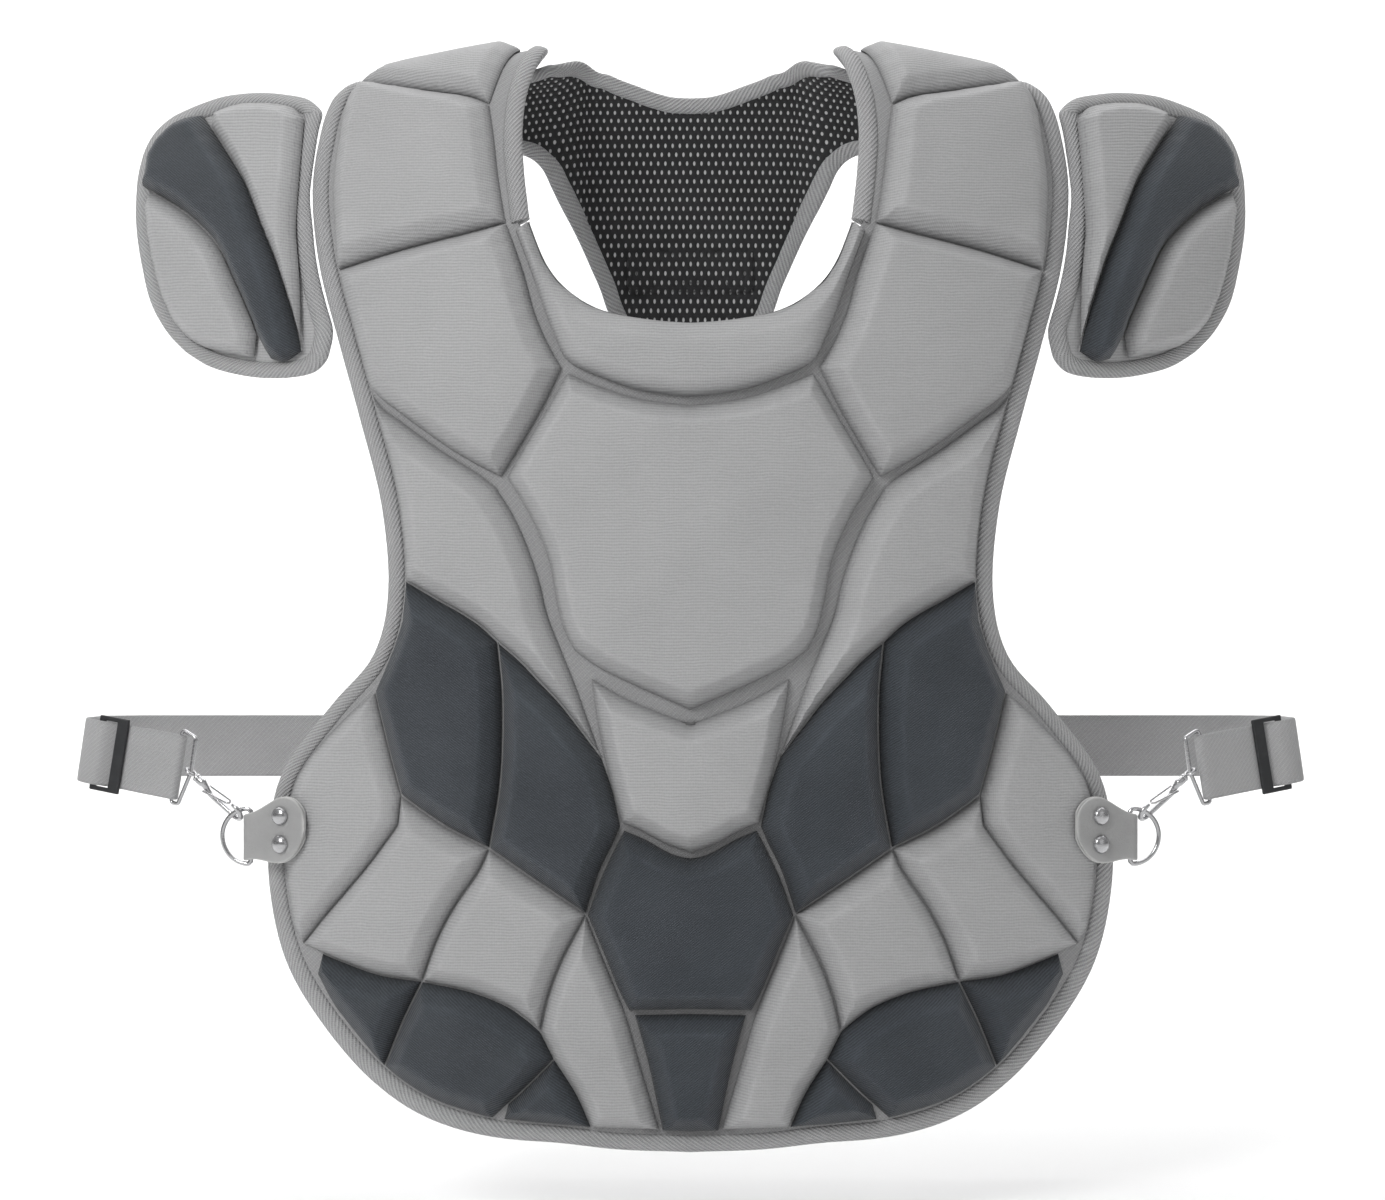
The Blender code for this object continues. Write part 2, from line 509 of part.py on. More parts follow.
def chain(lines, names):
    """Joins seam lines end to end; a name that starts with "-" runs backwards."""
    points = []
    for name in names:
        line = list(lines[name.lstrip("-")])
        if name.startswith("-"):
            line.reverse()
        points += line if not points else line[1:]
    return points


def spaced(points, steps):
    """Points along a polyline at shares of its length; a share close to a sharp corner moves onto it."""
    points = np.asarray(points, dtype=float)
    length = np.concatenate([[0.0], np.cumsum(np.linalg.norm(np.diff(points, axis=0), axis=1))])
    wanted = np.asarray(steps) * length[-1]
    for i in range(1, len(points) - 1):
        before = points[i] - points[i - 1]
        after = points[i + 1] - points[i]
        turn = np.dot(before, after) / (np.linalg.norm(before) * np.linalg.norm(after))
        if turn < math.cos(math.radians(22)):
            nearest = 1 + np.argmin(np.abs(wanted[1:-1] - length[i]))
            wanted[nearest] = length[i]
    wanted = np.sort(wanted)
    return np.stack([np.interp(wanted, length, points[:, 0]), np.interp(wanted, length, points[:, 1])], axis=-1)


def patch(sides, steps_one, steps_two):
    """A grid between four sides that follow each other round: each point blends the two pairs of sides."""
    first = spaced(sides[0], steps_one)
    second = spaced(sides[1], steps_two)
    third = spaced(sides[2][::-1], steps_one)
    fourth = spaced(sides[3][::-1], steps_two)
    one = np.linspace(0, 1, len(steps_one)) if steps_one is None else np.asarray(steps_one)
    two = np.asarray(steps_two)
    s = one[:, None, None]
    t = two[None, :, None]
    grid = (1 - t) * first[:, None] + t * third[:, None] + (1 - s) * fourth[None] + s * second[None]
    corners = (1 - s) * (1 - t) * first[0] + s * (1 - t) * first[-1] + (1 - s) * t * third[0] + s * t * third[-1]
    return grid - corners


def inset(grid, distance):
    """Draws a grid's border inwards by a distance, and the points inside with it."""
    middle = grid[1:-1, 1:-1].mean(axis=(0, 1))
    ring_index = [(0, j) for j in range(grid.shape[1])] + [(i, grid.shape[1] - 1) for i in range(1, grid.shape[0])]
    ring_index += [(grid.shape[0] - 1, j) for j in range(grid.shape[1] - 2, -1, -1)]
    ring_index += [(i, 0) for i in range(grid.shape[0] - 2, 0, -1)]
    ring = np.array([grid[i] for i in ring_index])
    result = grid.copy()
    moved = inset_ring(ring, distance, middle)
    for index, point in zip(ring_index, moved):
        result[index] = point
    return result


def inset_ring(ring, distance, middle):
    """Moves a closed ring of points inwards: each lands where its two neighbouring edges, moved in, meet."""
    ahead = np.roll(ring, -1, axis=0) - ring
    area = np.sum((ring[:, 0] - middle[0]) * ahead[:, 1] - (ring[:, 1] - middle[1]) * ahead[:, 0])
    turn = 1.0 if area > 0 else -1.0
    normal = turn * np.stack([-ahead[:, 1], ahead[:, 0]], axis=-1)
    normal /= np.linalg.norm(normal, axis=1, keepdims=True)
    both = normal + np.roll(normal, 1, axis=0)
    scale = 2.0 / np.maximum(np.sum(both**2, axis=1), 0.8)
    return ring + both * scale[:, None] * distance


def edge_distance(grid):
    """Distance of each grid point from the grid's border."""
    ring = np.concatenate([grid[0], grid[:, -1], grid[-1, ::-1], grid[::-1, 0]])
    start = ring[:-1]
    along = ring[1:] - ring[:-1]
    offset = grid[:, :, None] - start
    length = np.maximum(np.sum(along**2, axis=-1), 1e-12)
    share = np.clip(np.sum(offset * along, axis=-1) / length, 0.0, 1.0)
    return np.min(np.linalg.norm(offset - share[..., None] * along, axis=-1), axis=-1)


def crown(grid, height):
    """Height of a pad over its seat: a rounded slope at the edges and a slightly domed top."""
    distance = edge_distance(grid)
    slope = np.clip(distance / BEVEL, 0.0, 1.0)
    dome = distance / max(distance.max(), 1e-6)
    return height * (0.90 * np.sqrt(1 - (1 - slope) ** 2) + 0.10 * dome)


def clear_of(grid, line, distance):
    """Moves a grid's points sideways where they lie nearer to a line than a distance."""
    start = line[:-1]
    along = line[1:] - line[:-1]
    length = np.maximum(np.sum(along**2, axis=-1), 1e-12)
    share = np.clip(np.sum((grid[:, :, None] - start) * along, axis=-1) / length, 0.0, 1.0)
    nearest = start + share[..., None] * along
    away = grid[:, :, None] - nearest
    reach = np.linalg.norm(away, axis=-1)
    best = np.argmin(reach, axis=-1)[..., None]
    reach = np.take_along_axis(reach, best, axis=-1)
    away = np.take_along_axis(away, best[..., None], axis=-2)[..., 0, :]
    return grid + away / reach * np.maximum(distance - reach, 0.0)


def add_pad(name, base, sides, height, finish, side, steps=(PAD_STEPS, PAD_STEPS), lift=PAD_SEAT, rim=None):
    """A sewn pad: its foot lies on the panel, its top is crowned, and both meet at the seam."""
    grid = inset(patch(sides, *steps), SEAM_HALF)
    if rim is not None:
        grid = clear_of(grid, rim, BINDING_WIDTH + 2 * BINDING_GAP)
    across, down = grid[..., 0], grid[..., 1]
    top = raised(base, across, down, lift + crown(grid, height))
    bottom = raised(base, across, down, np.full(across.shape, lift))
    return slab(name, mirrored(top, side), mirrored(bottom, side), finish, sharp_edge=True)


def add_front_pads():
    """All pads of the front: those on each side, those over the ridges and those across the middle."""
    rim, first, last = panel_ring()
    rim = rim[first:last + 1]
    for word, side in SIDES.items():
        for name, (finish, height, *sides) in SIDE_PADS.items():
            seats = [seat(chain(LINES, part)) for part in sides]
            steps = (PAD_STEPS, LONG_STEPS if name in ("shoulder_pad", "dark_outer") else PAD_STEPS)
            add_pad(f"{name}_{word}", body_base, seats, height, finish, side, steps, rim=rim)
        seam = seat(LINES["shoulder_seam"])
        scale = np.array([HALF_WIDTH, SHOULDER_RUN])
        neck = np.vstack([seam[-1:], np.array(RIDGE_NECK) * scale])
        arm = np.vstack([np.array(RIDGE_ARM) * scale, seam[:1]])
        back = np.vstack([neck[-1:], arm[:1]])
        sides = [seam, neck, back, arm]
        steps = (PAD_STEPS, LONG_STEPS)
        add_pad(f"shoulder_top_{word}", body_base, sides, RIDGE_PAD_HEIGHT, "grey", side, steps, rim=rim)
    for name, (finish, height, top, edge, foot) in CENTRE_PADS.items():
        halves = []
        for names in (top, foot):
            half = seat(chain(LINES, names))
            half = half if half[0, 0] > half[-1, 0] else half[::-1]
            halves.append(np.vstack([half, half[-2::-1] * np.array([-1.0, 1.0])]))
        down_edge = seat(chain(LINES, edge))
        far_edge = down_edge * np.array([-1.0, 1.0])
        sides = [halves[0], far_edge, halves[1][::-1], down_edge[::-1]]
        add_pad(name, body_base, sides, height, finish, 1.0, (LONG_STEPS, PAD_STEPS))


def refined(points):
    """A smooth curve through points, with one more point half way between each two."""
    before = np.vstack([2 * points[0] - points[1], points[:-2]])
    after = np.vstack([points[2:], 2 * points[-1] - points[-2]])
    middle = (9 * (points[:-1] + points[1:]) - before - after) / 16
    result = np.empty((2 * len(points) - 1, points.shape[1]))
    result[0::2] = points
    result[1::2] = middle
    return result


def panel_ring():
    """The panel's outline, all round, from the middle of the neck; and where its binding starts and ends."""
    back = np.array(BACK_EDGE) * np.array([HALF_WIDTH, -STRAP_BACK])
    half = refined(np.vstack([seat(NECK_EDGE), back, seat(ARM_EDGE + HEM_EDGE)]))
    ring = np.vstack([half, half[-2:0:-1] * np.array([-1.0, 1.0])])
    first = 2 * NECK_BOUND
    return ring, first, len(ring) - first


def both_halves(curve):
    """A curve of one half, run on into its mirror image over the middle."""
    return np.vstack([curve[:0:-1] * np.array([-1.0, 1.0]), curve])


def add_panel():
    """The panel that carries the pads: a U of cloth from the hem over both shoulders."""
    ring = panel_ring()[0]
    rim = inset_ring(ring, BINDING_WIDTH + BINDING_GAP, ring.mean(axis=0))
    low = rim.min(axis=0)
    high = rim.max(axis=0)
    counts = np.round((high - low) / PANEL_CELL).astype(int)
    across, down = np.meshgrid(*(np.linspace(low[k], high[k], counts[k] + 1) for k in (0, 1)), indexing="ij")
    inner = np.stack([across.ravel(), down.ravel()], axis=-1)
    inner = inner[inside(inner, rim) & (line_distance(inner, np.vstack([rim, rim[:1]])) > PANEL_CELL * 0.35)]
    loop = [(i, (i + 1) % len(rim)) for i in range(len(rim))]
    flat = [Vector(point) for point in np.vstack([rim, inner]).tolist()]
    flat, edges, triangles, *origins = delaunay_2d_cdt(flat, loop, [], 1, 1e-7)
    flat = np.array([point[:] for point in flat])
    count = len(flat)
    top = raised(body_base, flat[:, 0], flat[:, 1], np.zeros(count))
    bottom = raised(body_base, flat[:, 0], flat[:, 1], np.full(count, -PANEL_THICK))
    faces = [tuple(face) for face in triangles]
    faces += [tuple(i + count for i in reversed(face)) for face in triangles]
    for one, two in open_edges(triangles):
        faces.append((two, one, one + count, two + count))
    add_body("chest_panel", np.vstack([top, bottom]), faces, "grey")


def open_edges(triangles):
    """The edges that only one triangle uses, in the direction in which it runs through them."""
    runs = {(face[k], face[(k + 1) % 3]) for face in triangles for k in range(3)}
    return sorted(run for run in runs if (run[1], run[0]) not in runs)


def inside(points, ring):
    """Whether each point lies within a closed outline."""
    start = ring
    end = np.roll(ring, -1, axis=0)
    level = points[:, 1:2]
    spans = (start[:, 1] > level) != (end[:, 1] > level)
    rise = np.where(end[:, 1] == start[:, 1], 1.0, end[:, 1] - start[:, 1])
    crossing = start[:, 0] + (level - start[:, 1]) / rise * (end[:, 0] - start[:, 0])
    return np.sum(spans & (points[:, 0:1] < crossing), axis=1) % 2 == 1


def line_distance(points, line):
    """Distance of each point from a polyline."""
    along = line[1:] - line[:-1]
    length = np.maximum(np.sum(along**2, axis=-1), 1e-12)
    offset = points[:, None] - line[:-1]
    share = np.clip(np.sum(offset * along, axis=-1) / length, 0.0, 1.0)
    return np.min(np.linalg.norm(offset - share[..., None] * along, axis=-1), axis=-1)


def add_band(name, rim, inner, base, mid, thick, finish, closed=False):
    """A binding: a band that is thinner at its outer edge, swept between two edges that run side by side."""
    section = ((0.0, 0.30), (1.0, 0.50), (1.0, -0.50), (0.0, -0.30))
    columns = []
    for share, lift in section:
        line = rim * (1 - share) + inner * share
        columns.append(raised(base, line[:, 0], line[:, 1], mid + lift * thick))
    rings = np.stack(columns, axis=1)
    sweep(name, rings, finish, closed)


def sweep(name, rings, finish, closed=False):
    """A body from rings of points, one after another, with ends that are filled unless it closes on itself."""
    count, sides = rings.shape[:2]
    faces = []
    for i in range(count if closed else count - 1):
        near = i * sides
        far = (i + 1) % count * sides
        for j in range(sides):
            k = (j + 1) % sides
            faces.append((near + j, near + k, far + k, far + j))
    if not closed:
        faces.append(tuple(reversed(range(sides))))
        faces.append(tuple(range((count - 1) * sides, count * sides)))
    return add_body(name, rings.reshape(-1, 3), faces, finish)


def add_panel_binding():
    """The binding round the panel, from one side of the neck over the strap, round the hem to the other."""
    ring, first, last = panel_ring()
    inner = inset_ring(ring, BINDING_WIDTH, ring.mean(axis=0))
    add_band("panel_binding", ring[first:last + 1], inner[first:last + 1], body_base, BINDING_MID, BINDING_THICK, "grey")


def yoke_level(across):
    """Height of the yoke's middle over the body's surface: under the straps it lies lower."""
    share = np.clip((np.abs(across) / HALF_WIDTH - 0.24) / 0.09, 0.0, 1.0)
    return YOKE_DROP + YOKE_RISE * (1 - share * share * (3 - 2 * share))


def yoke_base(across, down):
    """The surface in which the yoke's middle lies."""
    return raised(body_base, across, down, yoke_level(across))


def add_yoke():
    """The yoke behind the neck, with wings under the shoulder straps, and the binding round it."""
    table = np.array(YOKE_ROWS)
    upper = seat(table[:, 0:2], behind=True)
    lower = seat(table[:, 2:4], behind=True)
    ring = np.vstack([upper, lower[::-1]])
    ring = np.vstack([ring, ring[-2:0:-1] * np.array([-1.0, 1.0])])
    middle = ring.mean(axis=0)
    inner = inset_ring(ring, BINDING_WIDTH, middle)
    add_band("yoke_binding", ring, inner, yoke_base, 0.0, YOKE_THICK + 0.001, "grey", closed=True)
    pad_ring = inset_ring(ring, BINDING_WIDTH + BINDING_GAP, middle)
    count = len(upper)
    top = both_halves(pad_ring[:count])
    foot = both_halves(pad_ring[count:2 * count][::-1])
    s = np.array([0.0, 0.2, 0.5, 0.8, 1.0])[None, :, None]
    grid = top[:, None] * (1 - s) + foot[:, None] * s
    across, down = grid[..., 0], grid[..., 1]
    half = np.full(across.shape, YOKE_THICK / 2)
    slab("yoke_pad", raised(yoke_base, across, down, half), raised(yoke_base, across, down, -half), "mesh")


def cap_joint():
    """The cap's side beside the armhole, from its foot up, a clearance away from the panel's edge."""
    down = np.array(CAP_JOINT_DOWN)
    level = PEAK_LEVEL - down * BODY_HEIGHT
    across = np.interp(-level, -EDGE_LEVEL, EDGE_ACROSS) + CAP_GAP
    return np.stack([across, -level], axis=-1)


def add_caps():
    """A shoulder cap on each side: a shell with a thicker rim, and three pads on it."""
    rim = [cap_seat(CAP_LINES[name]) for name in ("top", "outer", "foot")]
    joint = np.vstack([rim[2][-1:], cap_joint(), rim[0][:1]])
    steps_one = (0.0, 0.10, 0.14, 0.35, 0.65, 0.86, 0.90, 1.0)
    steps_two = (0.0, 0.08, 0.11, 0.30, 0.50, 0.70, 0.89, 0.92, 1.0)
    grid = patch([rim[0], rim[1], rim[2], joint], steps_one, steps_two)
    distance = line_distance(grid.reshape(-1, 2), np.vstack(rim)).reshape(grid.shape[:2])
    rise = np.where(distance < CAP_RIM_WIDTH, CAP_RIM_RISE, 0.0)
    across, down = grid[..., 0], grid[..., 1]
    top = raised(cap_base, across, down, rise)
    bottom = raised(cap_base, across, down, -PANEL_THICK - rise)
    for word, side in SIDES.items():
        slab(f"shoulder_cap_{word}", mirrored(top, side), mirrored(bottom, side), "grey")
        for name, (finish, height, *parts) in CAP_PADS.items():
            sides = [cap_seat(chain(CAP_LINES, part)) for part in parts]
            steps = (PAD_STEPS, PAD_STEPS) if name == "cap_inner" else (LONG_STEPS, PAD_STEPS)
            add_pad(f"{name}_{word}", cap_base, sides, height, finish, side, steps, CAP_SEAT)


def unit(vector):
    """A vector of length one."""
    return np.asarray(vector, dtype=float) / np.linalg.norm(vector)


def tube_rings(path, radius, sides, closed=False):
    """Round rings along a path, carried on without twist."""
    path = np.asarray(path, dtype=float)
    radius = np.broadcast_to(radius, len(path))
    if closed:
        along = np.roll(path, -1, axis=0) - np.roll(path, 1, axis=0)
    else:
        along = np.gradient(path, axis=0)
    along /= np.linalg.norm(along, axis=1, keepdims=True)
    first = np.cross(along[0], [0.31, 0.22, 0.92])
    rings = []
    for point, forward, size in zip(path, along, radius):
        first = unit(first - forward * np.dot(first, forward))
        second = np.cross(forward, first)
        angle = np.arange(sides) * 2 * math.pi / sides
        rings.append(point + size * (np.cos(angle)[:, None] * first + np.sin(angle)[:, None] * second))
    return np.array(rings)


def rounded(corners, radii, closed=False):
    """A path through corners, each cut by an arc of its radius."""
    corners = np.asarray(corners, dtype=float)
    count = len(corners)
    path = []
    for i in range(count):
        if not closed and i in (0, count - 1):
            path.append(corners[i])
            continue
        back = unit(corners[i - 1] - corners[i])
        ahead = unit(corners[(i + 1) % count] - corners[i])
        half = math.acos(np.clip(np.dot(back, ahead), -1, 1)) / 2
        reach = radii[i] / math.tan(half)
        centre = corners[i] + unit(back + ahead) * radii[i] / math.sin(half)
        start = corners[i] + back * reach - centre
        end = corners[i] + ahead * reach - centre
        sweep_angle = math.pi - 2 * half
        steps = max(2, int(math.ceil(sweep_angle / math.radians(90) * BEND_STEPS)))
        for step in range(steps + 1):
            share = step / steps
            arc = (math.sin((1 - share) * sweep_angle) * start + math.sin(share * sweep_angle) * end)
            path.append(centre + arc / math.sin(sweep_angle))
    return np.array(path)


def ring_frame():
    """The ring's bar on the right: its middle, and the directions outwards, up and to the front."""
    at = seat([TAB_AT])[0]
    middle = raised(body_base, at[0], at[1], TAB_LEVEL)
    upwards = unit(raised(body_base, at[0], at[1] - 0.005, TAB_LEVEL) - raised(body_base, at[0], at[1] + 0.005, TAB_LEVEL))
    outwards = np.array([math.cos(RING_YAW), math.sin(RING_YAW), 0.0])
    outwards = unit(outwards - upwards * np.dot(outwards, upwards))
    return middle, outwards, upwards, np.cross(outwards, upwards)


def ring_path():
    """The ring's wire: a straight bar inside the tab, round corners and a half circle outside."""
    middle, outwards, upwards, front = ring_frame()
    centre = middle + outwards * RING_BAR_OFFSET
    angles = np.radians(np.linspace(90, -90, 13))
    round_side = centre + RING_RADIUS * (
        np.cos(angles)[:, None] * outwards + np.sin(angles)[:, None] * upwards
    )
    half = RING_RADIUS - RING_BAR_OFFSET
    return np.vstack([round_side, middle - upwards * half, middle + upwards * half])


def hook_frame():
    """The hook on the right: where it holds the ring, its eye, and its directions along, across and through."""
    middle, outwards, upwards, front = ring_frame()
    round_point = math.cos(HOOK_ANGLE) * outwards + math.sin(HOOK_ANGLE) * upwards
    held = middle + outwards * RING_BAR_OFFSET + round_point * RING_RADIUS
    level = math.cos(HOOK_RISE)
    to_eye = np.array([level * math.cos(HOOK_SWEEP), level * math.sin(HOOK_SWEEP), math.sin(HOOK_RISE)])
    wire = -math.sin(HOOK_ANGLE) * outwards + math.cos(HOOK_ANGLE) * upwards
    through = unit(wire - to_eye * np.dot(wire, to_eye))
    across = np.cross(through, to_eye)
    across = across if across[1] < 0 else -across
    up_side = unit(upwards - to_eye * np.dot(upwards, to_eye))
    turned = across * math.cos(HOOK_ROLL) + unit(np.cross(to_eye, across)) * math.sin(HOOK_ROLL)
    other = across * math.cos(HOOK_ROLL) - unit(np.cross(to_eye, across)) * math.sin(HOOK_ROLL)
    across = turned if np.dot(turned, up_side) > np.dot(other, up_side) else other
    return held, held + to_eye * HOOK_REACH, to_eye, across, np.cross(to_eye, across)


def loop_frame():
    """The wire loop on the right: its corners in space, the first in the hook's eye."""
    eye = hook_frame()[1]
    held = np.array([-math.sin(STRAP_LEAN), 0.0, math.cos(STRAP_LEAN)])
    away = np.array([math.cos(STRAP_YAW), math.sin(STRAP_YAW), 0.0])
    away = unit(away - held * np.dot(away, held))
    return np.array([eye + away * out + held * along for out, along in LOOP_CORNERS])


def hook_path():
    """Middle line and radius of the hook: an eye, a barrel, a bar and a nose bent round the ring."""
    held, eye, to_eye, across, through = hook_frame()
    corners = loop_frame()
    wire = unit(unit(corners[1] - corners[0]) - unit(corners[-1] - corners[0]))
    normal = unit(wire - to_eye * np.dot(wire, to_eye))
    eye_across = np.cross(normal, to_eye)
    points = []
    sizes = []
    for degrees in range(210, 511, 30):
        angle = math.radians(degrees)
        points.append(eye + EYE_RADIUS * (math.cos(angle) * to_eye + math.sin(angle) * eye_across))
        sizes.append(EYE_WIRE)
    barrel_end = HOOK_REACH - EYE_RADIUS - EYE_WIRE
    table = (
        (barrel_end + 0.0002, 0.0000, EYE_WIRE), (barrel_end - 0.0008, 0.0000, HOOK_BARREL),
        (barrel_end - 0.0055, 0.0000, HOOK_BARREL), (barrel_end - 0.0068, -0.0006, 0.0018),
        (barrel_end - 0.0110, -HOOK_BEND, HOOK_BAR), (0.0000, -HOOK_BEND, HOOK_BAR),
    )
    for along, side, size in table:
        points.append(held + to_eye * along + across * side)
        sizes.append(size)
    for degrees in (30, 60, 90, 120, 150, 180):
        angle = math.radians(degrees)
        points.append(held - to_eye * HOOK_BEND * math.sin(angle) - across * HOOK_BEND * math.cos(angle))
        sizes.append(HOOK_NOSE)
    points.append(held + to_eye * (GATE_TIP - 0.0014) + across * HOOK_BEND)
    sizes.append(HOOK_NOSE * 0.8)
    return np.array(points), np.array(sizes)


def gate_path():
    """The hook's wire gate: two legs from its pivot, joined at its tip."""
    held, eye, to_eye, across, through = hook_frame()
    level = HOOK_BEND - 0.0004
    tip = GATE_TIP + GATE_WIRE
    pivot = held + to_eye * GATE_PIVOT[0] + across * GATE_PIVOT[1]
    corners = [
        pivot + through * GATE_HALF,
        held + to_eye * (tip + 0.001) + across * level + through * GATE_HALF * 0.5,
        held + to_eye * tip + across * level,
        held + to_eye * (tip + 0.001) + across * level - through * GATE_HALF * 0.5,
        pivot - through * GATE_HALF,
    ]
    return np.array(corners)


def strap_frame():
    """The strap's front run on the right: the middle of the wire it passes round, and its directions."""
    corners = loop_frame()
    middle = corners[2] + (corners[3] - corners[2]) * STRAP_SHARE
    outwards = np.array([math.cos(STRAP_YAW), math.sin(STRAP_YAW), 0.0])
    front = np.array([math.sin(STRAP_YAW), -math.cos(STRAP_YAW), 0.0])
    return middle, outwards, front


def strap_path():
    """Middle line of the right half of the strap, from its free end to the middle of the back."""
    middle, outwards, front = strap_frame()
    turn = LOOP_WIRE + WEB_CLEARANCE + WEB_THICK / 2
    plate = turn + WEB_THICK / 2 + WEB_CLEARANCE + SLIDER_THICK / 2
    over = plate + SLIDER_THICK / 2 + WEB_CLEARANCE + WEB_THICK / 2
    slot = SLIDER_AT + SLIDER_BAR
    local = [(FREE_END, -turn)]
    for degrees in range(0, 181, 36):
        angle = math.radians(degrees)
        local.append((-turn * math.sin(angle), -turn * math.cos(angle)))
    local += [
        (slot, turn), (slot + 0.0026, turn + 0.0010),
        (slot + SLIDER_SLOT - 0.0026, over - 0.0010), (slot + SLIDER_SLOT, over),
    ]
    start = [middle + outwards * along + front * out for along, out in local]
    run = (STRAP_SIDE - start[-1][0]) / outwards[0]
    corner = start[-1] + outwards * run
    bend = [start[-1], corner, np.array([STRAP_SIDE, STRAP_BACK_Y, 0.0]), np.array([0.0, STRAP_BACK_Y, 0.0])]
    for point in bend:
        point[2] = 0.0
    route = np.vstack([np.array(start)[:-1], rounded(bend, (0, FRONT_CORNER, BACK_CORNER, 0))])
    rise = math.tan(STRAP_LEAN)
    level = middle[2] + (np.minimum(route[:, 0], STRAP_SIDE) - middle[0]) * rise
    back = np.clip((route[:, 1] - corner[1]) / (STRAP_BACK_Y - corner[1]), 0.0, 1.0)
    route[:, 2] = level * (1 - back) + STRAP_LEVEL * back
    return route, STRAP_LEAN * (1 - back)


def add_strap():
    """The waist strap: webbing round the back, through both sliders and round both wire loops."""
    path, lean = strap_path()
    path = np.vstack([path, (path * np.array([-1.0, 1.0, 1.0]))[-2::-1]])
    lean = np.concatenate([lean, -lean[-2::-1]])
    along = np.gradient(path, axis=0)
    along /= np.linalg.norm(along, axis=1, keepdims=True)
    upright = np.stack([-np.sin(lean), np.zeros(len(lean)), np.cos(lean)], axis=-1)
    upright -= along * np.sum(upright * along, axis=1, keepdims=True)
    upright /= np.linalg.norm(upright, axis=1, keepdims=True)
    face = np.cross(along, upright)
    rings = []
    for width, thick in ((-0.5, -0.5), (0.5, -0.5), (0.5, 0.5), (-0.5, 0.5)):
        rings.append(path + upright * width * WEB_WIDTH + face * thick * WEB_THICK)
    sweep("waist_strap", np.stack(rings, axis=1), "webbing")


def add_slider(word, side):
    """The slider: a plate with a wide bar, a slot for the strap to rise through, and a rail under it."""
    middle, outwards, front = strap_frame()
    upright = np.array([-math.sin(STRAP_LEAN), 0.0, math.cos(STRAP_LEAN)])
    outwards = unit(outwards - upright * np.dot(outwards, upright))
    front = unit(np.cross(outwards, upright))
    front = front if front[1] < 0 else -front
    turn = LOOP_WIRE + WEB_CLEARANCE + WEB_THICK / 2
    plate = turn + WEB_THICK / 2 + WEB_CLEARANCE + SLIDER_THICK / 2
    half = WEB_WIDTH / 2 + WEB_CLEARANCE
    columns = np.cumsum([SLIDER_AT, SLIDER_BAR, SLIDER_SLOT, SLIDER_RAIL])
    rows = np.array([-half - SLIDER_ARM, -half, half, half + SLIDER_ARM])
    points = []
    for lift in (-SLIDER_THICK / 2, SLIDER_THICK / 2):
        for row in rows:
            for column in columns:
                points.append(middle + outwards * column + upright * row + front * (plate + lift))
    index = np.arange(32).reshape(2, 4, 4)
    faces = []
    kept = [(i, j) for i in range(3) for j in range(3) if (i, j) != (1, 1)]
    for i, j in kept:
        near, far = index[0], index[1]
        faces.append((near[i, j], near[i + 1, j], near[i + 1, j + 1], near[i, j + 1]))
        faces.append((far[i, j], far[i, j + 1], far[i + 1, j + 1], far[i + 1, j]))
        for (a, b), (di, dj) in ((((0, 0), (0, 1)), (-1, 0)), (((0, 1), (1, 1)), (0, 1)),
                                 (((1, 1), (1, 0)), (1, 0)), (((1, 0), (0, 0)), (0, -1))):
            if (i + di, j + dj) in kept:
                continue
            one = (i + a[0], j + a[1])
            two = (i + b[0], j + b[1])
            faces.append((near[one], near[two], far[two], far[one]))
    add_body(f"slider_{word}", mirrored(np.array(points), side), [tuple(int(k) for k in f) for f in faces], "black_plastic")


def add_tab(word, side):
    """The leather tab: a strip folded round the ring's bar, with a round end and two layers."""
    at = seat([TAB_AT])[0]
    fold = RING_WIRE + FIT_GAP + TAB_THICK / 2
    angles = np.radians(np.linspace(-90, 90, 5))
    stations = []
    for along in (0.96, 0.80, 0.55, 0.30):
        stations.append((along * TAB_LENGTH, -layer_height(along * TAB_LENGTH, fold)))
    stations += [(-fold * math.cos(angle), fold * math.sin(angle)) for angle in angles]
    for along in (0.30, 0.55, 0.80, 0.92, 0.98, 1.0):
        stations.append((along * TAB_LENGTH, layer_height(along * TAB_LENGTH, fold)))
    stations = np.array(stations)
    share = np.clip(stations[:, 0] / (TAB_LENGTH * 0.6), 0.0, 1.0)
    half = TAB_FOLD_HALF + (TAB_END_HALF - TAB_FOLD_HALF) * share
    past = np.clip((stations[:, 0] / TAB_LENGTH - 0.6) / 0.4, 0.0, 0.97)
    half = half * np.sqrt(1 - past**2)
    along = np.gradient(stations, axis=0)
    along /= np.linalg.norm(along, axis=1, keepdims=True)
    across_normal = np.stack([-along[:, 1], along[:, 0]], axis=-1)
    rings = []
    for width, thick in ((-1.0, -0.5), (1.0, -0.5), (1.0, 0.5), (-1.0, 0.5)):
        shifted = stations + across_normal * thick * TAB_THICK
        down = at[1] + width * half
        rings.append(raised(body_base, at[0] - shifted[:, 0], down, TAB_LEVEL + shifted[:, 1]))
    sweep(f"tab_{word}", mirrored(np.stack(rings, axis=1), side), "leather")


def layer_height(along, fold):
    """Half the distance between the tab's layers: they close up past the ring's bar."""
    closed = TAB_THICK / 2 + FIT_GAP
    return closed + (fold - closed) * math.exp(-along / 0.006)


